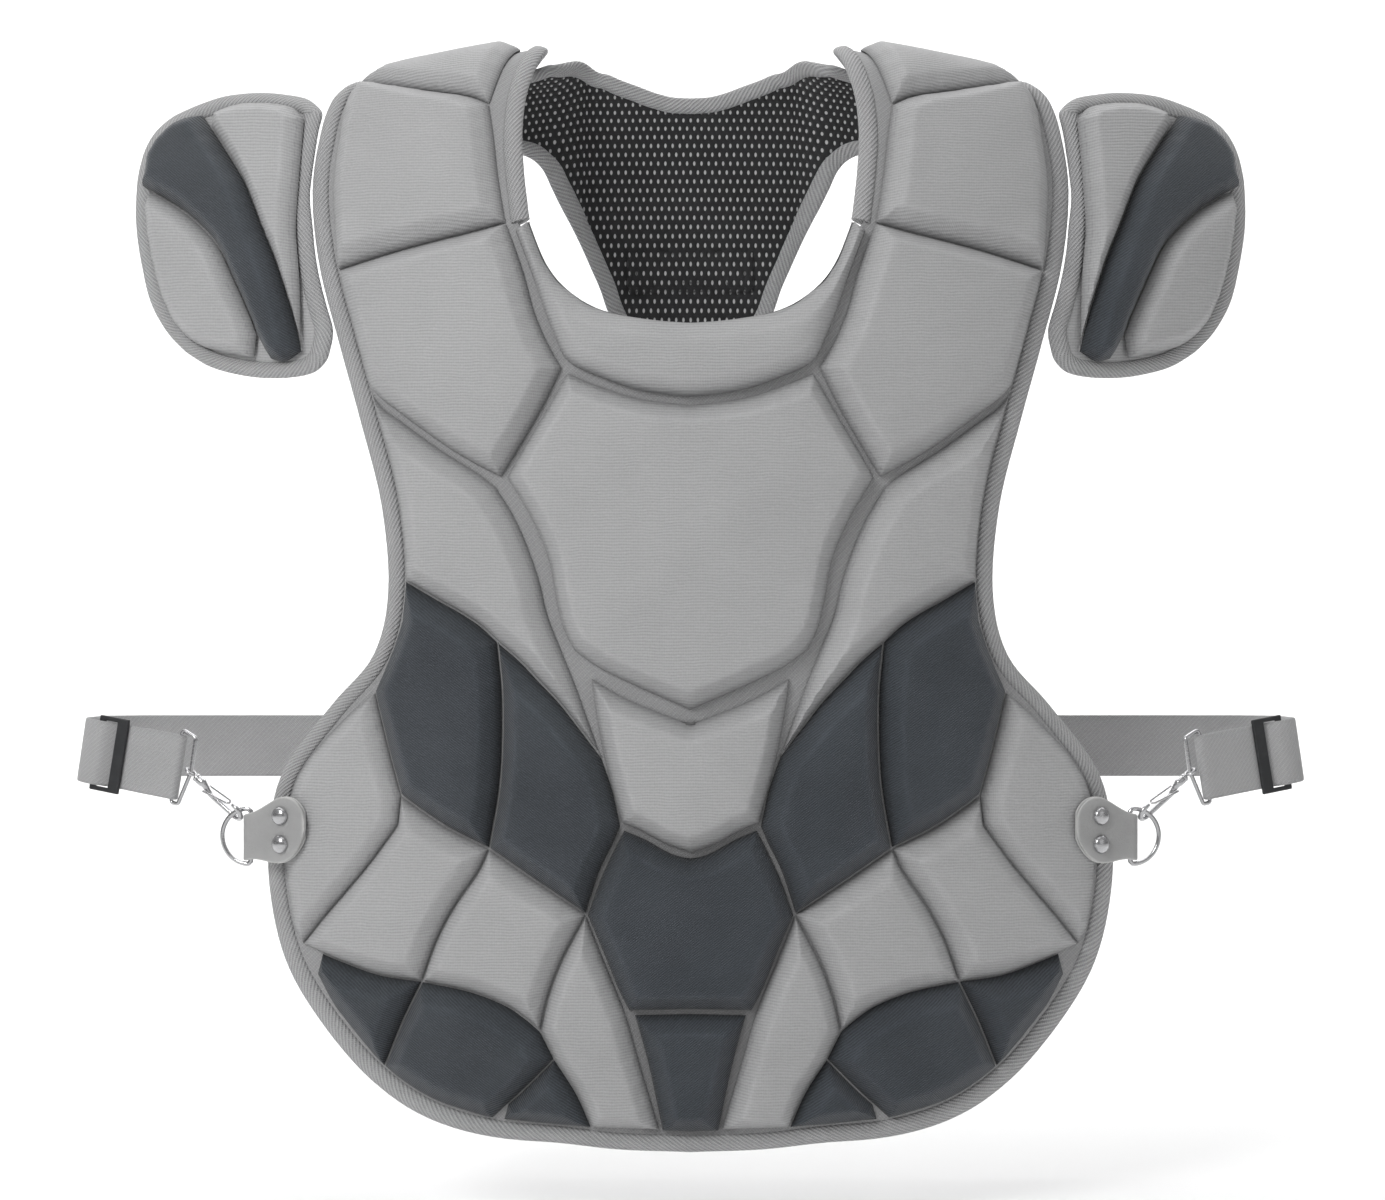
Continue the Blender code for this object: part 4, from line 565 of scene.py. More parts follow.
def spaced(points: Array, steps: Array) -> Array:
    """Points at shares of a line's length; the share nearest to a sharp corner moves onto it.

    Args:
        points: Pairs along the line.
        steps: Shares from 0 to 1.

    Returns:
        One pair for each share.
    """
    length = length_at(points)
    wanted = steps * length[-1]
    for corner in sharp_corners(points, HELD_CORNER):
        wanted[1 + np.argmin(np.abs(wanted[1:-1] - length[corner]))] = length[corner]
    wanted = np.sort(wanted)
    return beside(np.interp(wanted, length, points[:, 0]), np.interp(wanted, length, points[:, 1]))


def edge_steps(count: int, close: float = 0.72) -> Array:
    """Shares from 0 to 1 that lie closer together near both ends: the share less a part of its sine."""
    t = np.linspace(0.0, 1.0, count)
    return t - close * np.sin(2 * math.pi * t) / (2 * math.pi)


def inset_ring(ring: Array, distance: Array | float) -> Array:
    """Moves a closed ring of pairs inwards: each lands where its two edges, moved in, meet.

    Args:
        ring: Pairs round the ring.
        distance: How far in, for all or for each point.

    Returns:
        The moved pairs.
    """
    ahead = np.roll(ring, -1, axis=0) - ring
    middle = ring.mean(axis=0)
    area = np.sum((ring[:, 0] - middle[0]) * ahead[:, 1] - (ring[:, 1] - middle[1]) * ahead[:, 0])
    normal = math.copysign(1.0, area) * beside(-ahead[:, 1], ahead[:, 0])
    normal /= np.maximum(np.linalg.norm(normal, axis=1, keepdims=True), 1e-12)
    both = normal + np.roll(normal, 1, axis=0)
    return ring + both * (2.0 * distance / np.maximum(np.sum(both**2, axis=1), 0.8))[:, None]


def nearest(points: Array, line: Array) -> tuple[Array, Array, Array]:
    """How points lie to a polyline.

    Args:
        points: Pairs.
        line: Pairs along the line.

    Returns:
        For each point its distance, the nearest pair on the line, and the length along the line to it.
    """
    along = line[1:] - line[:-1]
    square = np.maximum(np.sum(along**2, axis=-1), 1e-14)
    share = limited(np.sum((points[:, None] - line[:-1]) * along, axis=-1) / square)
    spots = line[:-1] + share[..., None] * along
    reach = np.linalg.norm(points[:, None] - spots, axis=-1)
    best = np.argmin(reach, axis=-1)
    index = np.arange(len(points))
    length = np.concatenate([[0.0], np.cumsum(np.sqrt(square))])[:-1] + share * np.sqrt(square)
    return reach[index, best], spots[index, best], length[index, best]


def clear_of(points: Array, line: Array, distance: float) -> Array:
    """Moves points away from a line to a distance from it where they lie nearer."""
    reach, spots, _ = nearest(points, line)
    away = (points - spots) / np.maximum(reach, 1e-9)[:, None]
    return points + away * np.maximum(distance - reach, 0.0)[:, None]


def inside(points: Array, ring: Array) -> Array:
    """Whether each point lies within a closed outline: a level line from it crosses the outline an odd number of times.

    Args:
        points: Pairs.
        ring: Pairs round the outline.

    Returns:
        One truth value for each point.
    """
    end = np.roll(ring, -1, axis=0)
    level = points[:, 1:2]
    spans = (ring[:, 1] > level) != (end[:, 1] > level)
    rise = np.where(end[:, 1] == ring[:, 1], 1.0, end[:, 1] - ring[:, 1])
    crossing = ring[:, 0] + (level - ring[:, 1]) / rise * (end[:, 0] - ring[:, 0])
    return np.sum(spans & (points[:, 0:1] < crossing), axis=1) % 2 == 1


def ripple(along: Array, pitch: float, seed: float) -> Array:
    """An uneven wave from -1 to 1: three sines of different lengths, shifted by a seed."""
    turn = 2 * math.pi * along / pitch
    return (np.sin(turn + seed) + 0.6 * np.sin(turn * 0.43 + seed * 2.3) + 0.4 * np.sin(turn * 1.9 + seed * 5.1)) / 2.0


def unit(vector: Array) -> Array:
    """Vectors of length one."""
    vector = np.asarray(vector, dtype=float)
    return vector / np.linalg.norm(vector, axis=-1, keepdims=True)


class Graph:
    """A material's nodes, added one after another."""

    def __init__(self, name: str) -> None:
        """Starts a material with only its shader."""
        self.material = bpy.data.materials.new(name)
        self.material.use_nodes = True
        self.tree = self.material.node_tree
        self.shader = self.tree.nodes["Principled BSDF"]

    def add(self, kind: str, **sockets: object) -> bpy.types.Node:
        """Adds a node.

        Args:
            kind: Its type, without the leading ShaderNode.
            **sockets: Its own settings in lower case, and its sockets as in0, in1 and so on.

        Returns:
            The node.
        """
        node = self.tree.nodes.new("ShaderNode" + kind)
        for key, value in sockets.items():
            if not (key.startswith("in") and key[2:].isdigit()):
                setattr(node, key, value)
                continue
            self.feed(value, node.inputs[int(key[2:])])
        return node

    def feed(self, value: object, socket: Socket) -> None:
        """Gives a socket a value, or a link from another socket.

        Args:
            value: The value or the other socket.
            socket: The socket that takes it.
        """
        if isinstance(value, Socket):
            self.tree.links.new(value, socket)
        else:
            socket.default_value = value

    def math(self, operation: str, one: object, two: object = 0.0) -> Socket:
        """One sum of two values."""
        return self.add("Math", operation=operation, in0=one, in1=two).outputs[0]

    def times(self, one: object, two: object) -> Socket:
        """The product of two values."""
        return self.math("MULTIPLY", one, two)

    def plus(self, one: object, two: object) -> Socket:
        """The sum of two values."""
        return self.math("ADD", one, two)

    def minus(self, one: object, two: object) -> Socket:
        """One value less another."""
        return self.math("SUBTRACT", one, two)

    def wave(self, along: object, pitch: float) -> Socket:
        """A sine of a length, one turn to each pitch."""
        return self.math("SINE", self.times(along, 2 * math.pi / pitch))

    def noise(self, place: object, scale: float, detail: float = 2.0) -> Socket:
        """Cloudy noise from 0 to 1."""
        return self.add("TexNoise", in0=place, in2=scale, in3=detail).outputs[0]

    def blend(self, share: object, one: object, two: object) -> Socket:
        """A colour between two, by a share."""
        node = self.add("Mix", data_type="RGBA", in0=share)
        for socket, value in ((node.inputs[6], one), (node.inputs[7], two)):
            self.feed(value if isinstance(value, Socket) else (*value, 1.0), socket)
        return node.outputs[2]

    def ranged(self, value: object, low: float, high: float, to_low: float, to_high: float) -> Socket:
        """A value carried from one range to another, and held at its ends."""
        return self.add("MapRange", in0=value, in1=low, in2=high, in3=to_low, in4=to_high).outputs[0]

    def mark(self, name: str) -> Socket:
        """A mark that the mesh carries at each point."""
        return self.add("Attribute", attribute_name=name).outputs[2]

    def object_place(self) -> Socket:
        """The place in metres."""
        return self.add("TexCoord").outputs[3]

    def set(self, socket: str, value: object) -> None:
        """Gives one socket of the shader a value or a link."""
        self.feed(value, self.shader.inputs[socket])

    def bump(self, height: object, distance: float, strength: float = 1.0) -> None:
        """Raises the surface by a height from 0 to 1 times a distance."""
        node = self.add("Bump", in0=strength, in1=distance)
        self.tree.links.new(height, node.inputs["Height"])
        self.tree.links.new(node.outputs[0], self.shader.inputs["Normal"])


@dataclass(frozen=True)
class Cloth:
    """A woven finish: its two thread colours, how it is woven, its cloudy tone, and the painted shade at its seams and
    painted highlight along its creases.
    """

    light: tuple[float, float, float]
    dark: tuple[float, float, float]
    weave: Weave
    pitch: float
    relief: float
    roughness: float = 0.78
    sheen: float = 0.12
    cloud: float = 0.1
    seam_shade: float = 0.55
    # strength of the painted highlight along the creases
    crease_highlight: float = 0.25

    def threads(self, graph: Graph) -> tuple[object, object]:
        """Height of the threads from 0 to 1, and the place on the cloth.

        Args:
            graph: The material's nodes.

        Returns:
            The height and the place.
        """
        place = graph.add("UVMap", uv_map="cloth").outputs[0]
        split = graph.add("SeparateXYZ", in0=place)
        u, v = split.outputs[0], split.outputs[1]
        strong, weak = 0.34, 0.14
        if self.weave is Weave.RIB:
            strong, weak = 0.36, 0.12
            wobble = graph.times(graph.noise(place, 60.0), self.pitch * 1.5)
            main_thread = graph.wave(graph.plus(v, wobble), self.pitch)
            cross_thread = graph.wave(u, self.pitch * 0.55)
        elif self.weave is Weave.TWILL:
            main_thread = graph.wave(graph.plus(graph.times(u, 0.8), v), self.pitch)
            cross_thread = graph.wave(graph.minus(u, v), self.pitch * 0.6)
        else:
            main_thread = graph.times(graph.wave(u, self.pitch), graph.wave(v, self.pitch))
            cross_thread = graph.wave(graph.plus(u, v), self.pitch * 2.0)
        height = graph.plus(graph.times(main_thread, strong), graph.times(cross_thread, weak))
        return graph.plus(height, 0.5), place

    def paint(self, graph: Graph) -> None:
        """Threads in two colours, cloudy tone, painted shade near the seams with darker stitches, a painted highlight
        along the creases, and a woven surface.

        Args:
            graph: The material's nodes.
        """
        height, place = self.threads(graph)
        colour = graph.blend(height, self.dark, self.light)
        cloud = graph.noise(place, 22.0, 4.0)
        colour = graph.blend(graph.ranged(cloud, 0.35, 0.75, 0.0, self.cloud), colour, tinted(self.dark, 0.45))
        fibre = graph.noise(place, 900.0, 2.0)
        colour = graph.blend(graph.ranged(fibre, 0.4, 0.7, 0.0, 0.14), colour, tinted(self.light, 1.5))
        # Painted shade near the seams, from the seam mark, which also darkens the stitches
        seam = graph.times(graph.mark("seam"), self.seam_shade)
        colour = graph.blend(seam, colour, tinted(self.dark, 0.22))
        # Painted highlight along the crease mark, stronger where the cloud noise is low
        crease_highlight = graph.times(graph.mark("crease"), graph.ranged(cloud, 0.3, 0.7, self.crease_highlight, 0.35 * self.crease_highlight))
        colour = graph.blend(crease_highlight, colour, tinted(self.light, 1.35))
        graph.set("Base Color", colour)
        graph.set("Roughness", graph.ranged(cloud, 0.3, 0.7, self.roughness - 0.06, self.roughness + 0.06))
        graph.set("Sheen Weight", self.sheen)
        graph.set("Sheen Roughness", 0.5)
        graph.bump(graph.plus(height, graph.times(fibre, 0.35)), self.relief, 0.9)


@dataclass(frozen=True)
class NetCloth:
    """Black spacer cloth with rows of upright holes that show the lighter layer behind."""

    base: tuple[float, float, float] = (0.012, 0.012, 0.013)
    spot: tuple[float, float, float] = (0.55, 0.55, 0.55)
    across: float = 0.0036
    down: float = 0.0047
    spot_half: tuple[float, float] = (0.0006, 0.0012)

    def paint(self, graph: Graph) -> None:
        """Ellipses on a brick grid: a place is in a hole where its distance from the hole's middle is under one.

        Args:
            graph: The material's nodes.
        """
        place = graph.add("UVMap", uv_map="cloth").outputs[0]
        split = graph.add("SeparateXYZ", in0=place)
        row = graph.math("DIVIDE", split.outputs[1], self.down)
        odd = graph.times(graph.math("FLOORED_MODULO", graph.math("FLOOR", row), 2.0), 0.5)
        column = graph.plus(graph.math("DIVIDE", split.outputs[0], self.across), odd)
        x = graph.minus(graph.math("FRACT", column), 0.5)
        y = graph.minus(graph.math("FRACT", row), 0.5)
        x = graph.times(x, self.across / self.spot_half[0])
        y = graph.times(y, self.down / self.spot_half[1])
        reach = graph.math("SQRT", graph.plus(graph.times(x, x), graph.times(y, y)))
        hole = graph.ranged(reach, 0.75, 1.15, 1.0, 0.0)
        cloud = graph.noise(place, 30.0, 3.0)
        base = graph.blend(graph.ranged(cloud, 0.35, 0.7, 0.0, 0.6), self.base, tinted(self.base, 1.9))
        seam = graph.mark("seam")
        spot = graph.times(hole, graph.ranged(seam, 0.1, 0.7, 0.9, 0.1))
        graph.set("Base Color", graph.blend(spot, base, self.spot))
        graph.set("Roughness", 0.82)
        graph.set("Sheen Weight", 0.15)
        fibre = graph.noise(place, 1200.0)
        rim = graph.ranged(reach, 0.9, 2.2, 0.0, 1.0)
        graph.bump(graph.plus(graph.times(fibre, 0.25), rim), 0.0006, 0.9)


@dataclass(frozen=True)
class Leather:
    """Grained grey leather with a painted highlight along its rim."""

    colour: tuple[float, float, float] = (0.36, 0.36, 0.36)
    # colour of the painted highlight along the rim
    edge: tuple[float, float, float] = (0.6, 0.6, 0.59)

    def paint(self, graph: Graph) -> None:
        """Fine grain over cloudy tone, and a painted highlight where the mesh marks its rim.

        Args:
            graph: The material's nodes.
        """
        place = graph.object_place()
        grain = graph.add("TexVoronoi", in0=place, in2=900.0).outputs[0]
        cloud = graph.noise(place, 90.0, 4.0)
        colour = graph.blend(graph.ranged(cloud, 0.35, 0.7, 0.0, 0.35), self.colour, tinted(self.colour, 0.75))
        # Painted highlight along the rim, from the crease mark
        colour = graph.blend(graph.mark("crease"), colour, self.edge)
        graph.set("Base Color", colour)
        graph.set("Roughness", graph.ranged(cloud, 0.3, 0.7, 0.42, 0.58))
        graph.bump(grain, 0.00025, 0.6)


@dataclass(frozen=True)
class Hard:
    """A smooth metal or plastic with fine scratches and dull patches."""

    colour: tuple[float, float, float]
    metallic: float
    roughness: float
    worn: float = 0.08
    dust: tuple[float, float, float] = (0.3, 0.3, 0.31)

    def paint(self, graph: Graph) -> None:
        """The gloss changes a little from place to place, and the colour with it.

        Args:
            graph: The material's nodes.
        """
        place = graph.object_place()
        cloud = graph.noise(place, 160.0, 5.0)
        scratch = graph.noise(graph.add("Mapping", in0=place, in3=(1.0, 1.0, 14.0)).outputs[0], 240.0, 3.0)
        graph.set("Base Color", graph.blend(graph.ranged(cloud, 0.5, 0.8, 0.0, self.worn), self.colour, self.dust))
        graph.set("Metallic", self.metallic)
        graph.set("Roughness", graph.ranged(scratch, 0.3, 0.75, self.roughness, self.roughness + 2 * self.worn))
        graph.bump(cloud, 0.00006, 0.4)


GREY = Cloth((0.47, 0.47, 0.475), (0.345, 0.345, 0.35), Weave.RIB, 0.0015, 0.00022)
SLATE = Cloth((0.072, 0.084, 0.100), (0.020, 0.024, 0.030), Weave.TWILL, 0.0013, 0.00035, cloud=0.38, seam_shade=0.8,
              crease_highlight=0.45, sheen=0.2)
TAPE = Cloth((0.50, 0.50, 0.505), (0.27, 0.27, 0.275), Weave.TWILL, 0.0023, 0.0007, seam_shade=0.40, crease_highlight=0.2)
LINING = Cloth((0.44, 0.44, 0.445), (0.31, 0.31, 0.315), Weave.PLAIN, 0.0016, 0.0003, seam_shade=0.55)
WEBBING = Cloth((0.48, 0.48, 0.485), (0.30, 0.30, 0.305), Weave.PLAIN, 0.0013, 0.0004, seam_shade=0.4, crease_highlight=0.2)
NET = NetCloth()
LEATHER = Leather()
CHROME = Hard((0.52, 0.52, 0.53), 1.0, 0.16)
BLACK = Hard((0.020, 0.021, 0.023), 0.0, 0.38, worn=0.12, dust=(0.10, 0.10, 0.11))
FINISHES = {"grey": GREY, "slate": SLATE}


@dataclass
class Mesh:
    """A body's points, its faces in blocks of equal size with the cloth's place at each corner, and marks at points."""

    points: Array
    faces: list[Array]
    cloth: list[Array]
    marks: dict[str, Array]

    def piece(self, name: str, finish: object, node: str, side: float = 1.0, body: str = "protector",
              fill: float | None = None, replaces: bool = True) -> bpy.types.Object:
        """Makes the piece on one side of the body, turned outwards, and rides it where its CAD node rides.

        Args:
            name: The piece's name.
            finish: What it is finished with.
            node: The CAD node it stands for, which is hidden when it replaces it.
            side: 1 for the right side or the middle, -1 for the left side.
            body: The CAD body it rides on.
            fill: Not used.
            replaces: Whether it stands for the node.

        Returns:
            The object.
        """
        points = self.points * np.array([side, 1.0, 1.0])
        triangles = np.vstack([block[:, [0, k, k + 1]] for block in self.faces for k in range(1, block.shape[1] - 1)])
        a, b, c = (points[triangles[:, k]] for k in range(3))
        turn = 1 if np.sum(a * np.cross(b, c)) > 0 else -1
        blocks = [block[:, ::turn] for block in self.faces]
        cloth = [block[:, ::turn] for block in self.cloth]
        mesh = bpy.data.meshes.new(name)
        mesh.vertices.add(len(points))
        mesh.vertices.foreach_set("co", points.ravel())
        loops = np.concatenate([block.ravel() for block in blocks])
        sizes = np.concatenate([np.full(len(block), block.shape[1]) for block in blocks])
        mesh.loops.add(len(loops))
        mesh.loops.foreach_set("vertex_index", loops.astype(np.int32))
        mesh.polygons.add(len(sizes))
        mesh.polygons.foreach_set("loop_start", np.concatenate([[0], np.cumsum(sizes)[:-1]]).astype(np.int32))
        mesh.update(calc_edges=True)
        layer = mesh.uv_layers.new(name="cloth")
        layer.data.foreach_set("uv", np.concatenate([block.reshape(-1, 2) for block in cloth]).ravel())
        for mark, values in self.marks.items():
            attribute = mesh.attributes.new(mark, "FLOAT", "POINT")
            attribute.data.foreach_set("value", np.asarray(values, dtype=np.float32).ravel())
        mesh.shade_smooth()
        mesh.set_sharp_from_angle(angle=math.radians(55))
        item = placed(name, mesh)
        graph = Graph(name + "_finish")
        finish.paint(graph)
        mesh.materials.append(graph.material)
        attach(item, body)
        if replaces:
            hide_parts(node)
        LOG.info("%s: %d faces on %s", name, len(sizes), body)
        return item


def grid_mesh(top: Array, bottom: Array, cloth: Array, marks: dict[str, Array]) -> Mesh:
    """A closed body between two grids that share their border, its corner cells split from their corner.

    Args:
        top: The upper grid of points.
        bottom: The lower grid of points.
        cloth: The place on the cloth at each point.
        marks: Marks of the upper grid; the lower one has them too.

    Returns:
        The mesh.
    """
    rows, columns = top.shape[:2]
    upper = np.arange(rows * columns).reshape(rows, columns)
    inner = np.arange((rows - 2) * (columns - 2)).reshape(rows - 2, columns - 2) + rows * columns
    lower = upper.copy()
    lower[1:-1, 1:-1] = inner
    quads, splits = [], []
    for layer, turn in ((upper, 1), (lower, -1)):
        cells = beside(layer[:-1, :-1], layer[:-1, 1:], layer[1:, 1:], layer[1:, :-1])
        keep = np.ones(cells.shape[:2], dtype=bool)
        for (i, j), start in (((0, 0), 0), ((0, -1), 1), ((-1, -1), 2), ((-1, 0), 3)):
            keep[i, j] = False
            corner = np.roll(cells[i, j], -start)
            splits += [corner[[0, 1, 2]][::turn], corner[[0, 2, 3]][::turn]]
        quads.append(cells[keep][:, ::turn])
    faces = [np.vstack(quads), np.array(splits)]
    points = np.vstack([top.reshape(-1, 3), bottom[1:-1, 1:-1].reshape(-1, 3)])
    place = np.vstack([cloth.reshape(-1, 2), cloth[1:-1, 1:-1].reshape(-1, 2)])
    both = {name: np.concatenate([value.ravel(), value[1:-1, 1:-1].ravel()]) for name, value in marks.items()}
    return Mesh(points, faces, [place[block] for block in faces], both)


def swept_mesh(rings: Array, closed: bool, marks: dict[str, Array]) -> Mesh:
    """A body from rings of points, one after another; its cloth runs along the rings and round them.

    Args:
        rings: Points by ring and by place in the ring.
        closed: Whether the last ring meets the first.
        marks: Marks by ring and by place in the ring.

    Returns:
        The mesh.
    """
    count, sides = rings.shape[:2]
    index = np.arange(count * sides).reshape(count, sides)
    middle = rings.mean(axis=1)
    along, around = length_at(looped(middle)), length_at(looped(rings[0]))
    last = count if closed else count - 1
    i, j = np.meshgrid(np.arange(last), np.arange(sides), indexing="ij")
    i, j = i.ravel(), j.ravel()
    near, far = i, (i + 1) % count
    left, right = j, (j + 1) % sides
    faces = beside(index[near, left], index[near, right], index[far, right], index[far, left])
    cloth = np.stack([
        beside(along[i], around[j]), beside(along[i], around[j + 1]),
        beside(along[i + 1], around[j + 1]), beside(along[i + 1], around[j]),
    ], axis=1)
    blocks, places = [faces], [cloth]
    if not closed:
        ends = np.stack([index[0, ::-1], index[-1]])
        flat = beside(around[:-1], np.zeros(sides))
        blocks.append(ends)
        places.append(np.stack([flat, flat]))
    return Mesh(rings.reshape(-1, 3), blocks, places, {name: value.ravel() for name, value in marks.items()})


def tube(path: Array, radius: Array | float, sides: int = 14, closed: bool = False) -> Mesh:
    """A round wire: rings square to its path, each turned on from the one before without twist.

    Args:
        path: Points along the wire.
        radius: Its radius, or one for each point.
        sides: Points in a ring.
        closed: Whether the wire meets its own start.

    Returns:
        The mesh.
    """
    if closed:
        along = unit(np.roll(path, -1, axis=0) - np.roll(path, 1, axis=0))
    else:
        along = unit(np.gradient(path, axis=0))
    first = np.cross(along[0], [0.31, 0.22, 0.92])
    frames = []
    for forward in along:
        first = unit(first - forward * np.dot(first, forward))
        frames.append(first)
    first = np.array(frames)
    second = np.cross(along, first)
    if closed:
        last = first[-1] - along[0] * np.dot(first[-1], along[0])
        twist = math.atan2(np.dot(last, second[0]), np.dot(last, first[0]))
        turn = -twist * np.arange(len(path)) / len(path)
        cosine, sine = np.cos(turn)[:, None], np.sin(turn)[:, None]
        first, second = first * cosine + second * sine, second * cosine - first * sine
    angle = np.arange(sides) * 2 * math.pi / sides
    size = np.broadcast_to(radius, len(path))[:, None, None]
    rings = path[:, None] + size * (
        np.cos(angle)[None, :, None] * first[:, None] + np.sin(angle)[None, :, None] * second[:, None]
    )
    return swept_mesh(rings, closed, {})


def rounded(corners: Array, radii: Sequence[float], closed: bool = False, fineness: int = 12) -> Array:
    """A path through corners, each cut by an arc of its radius.

    Args:
        corners: Points at the corners.
        radii: One radius for each corner.
        closed: Whether the path meets its own start.
        fineness: Steps in a quarter turn.

    Returns:
        Points along the path.
    """
    corners = np.asarray(corners, dtype=float)
    count = len(corners)
    path = []
    for i in range(count):
        if not closed and i in (0, count - 1):
            path.append(corners[i:i + 1])
            continue
        back = unit(corners[i - 1] - corners[i])
        ahead = unit(corners[(i + 1) % count] - corners[i])
        half = math.acos(np.clip(np.dot(back, ahead), -1, 1)) / 2
        reach = radii[i] / math.tan(half)
        centre = corners[i] + unit(back + ahead) * radii[i] / math.sin(half)
        start = corners[i] + back * reach - centre
        end = corners[i] + ahead * reach - centre
        angle = math.pi - 2 * half
        share = np.linspace(0, 1, max(4, int(math.ceil(angle / math.radians(90) * fineness))) + 1)[:, None]
        path.append(centre + (np.sin((1 - share) * angle) * start + np.sin(share * angle) * end) / math.sin(angle))
    return np.vstack(path)


def spline(points: Array, per_span: int = 5) -> Array:
    """A smooth curve through points in space or of any other width, with cubic spans."""
    points = np.asarray(points, dtype=float)
    wide = np.vstack([2 * points[0] - points[1], points, 2 * points[-1] - points[-2]])[:, None]
    t = np.linspace(0, 1, per_span, endpoint=False)[None, :, None]
    a, b, c, d = wide[:-3], wide[1:-2], wide[2:-1], wide[3:]
    curve = 2 * b + (c - a) * t + (2 * a - 5 * b + 4 * c - d) * t**2 + (3 * b - a - 3 * c + d) * t**3
    return np.vstack([curve.reshape(-1, points.shape[1]) / 2, points[-1:]])


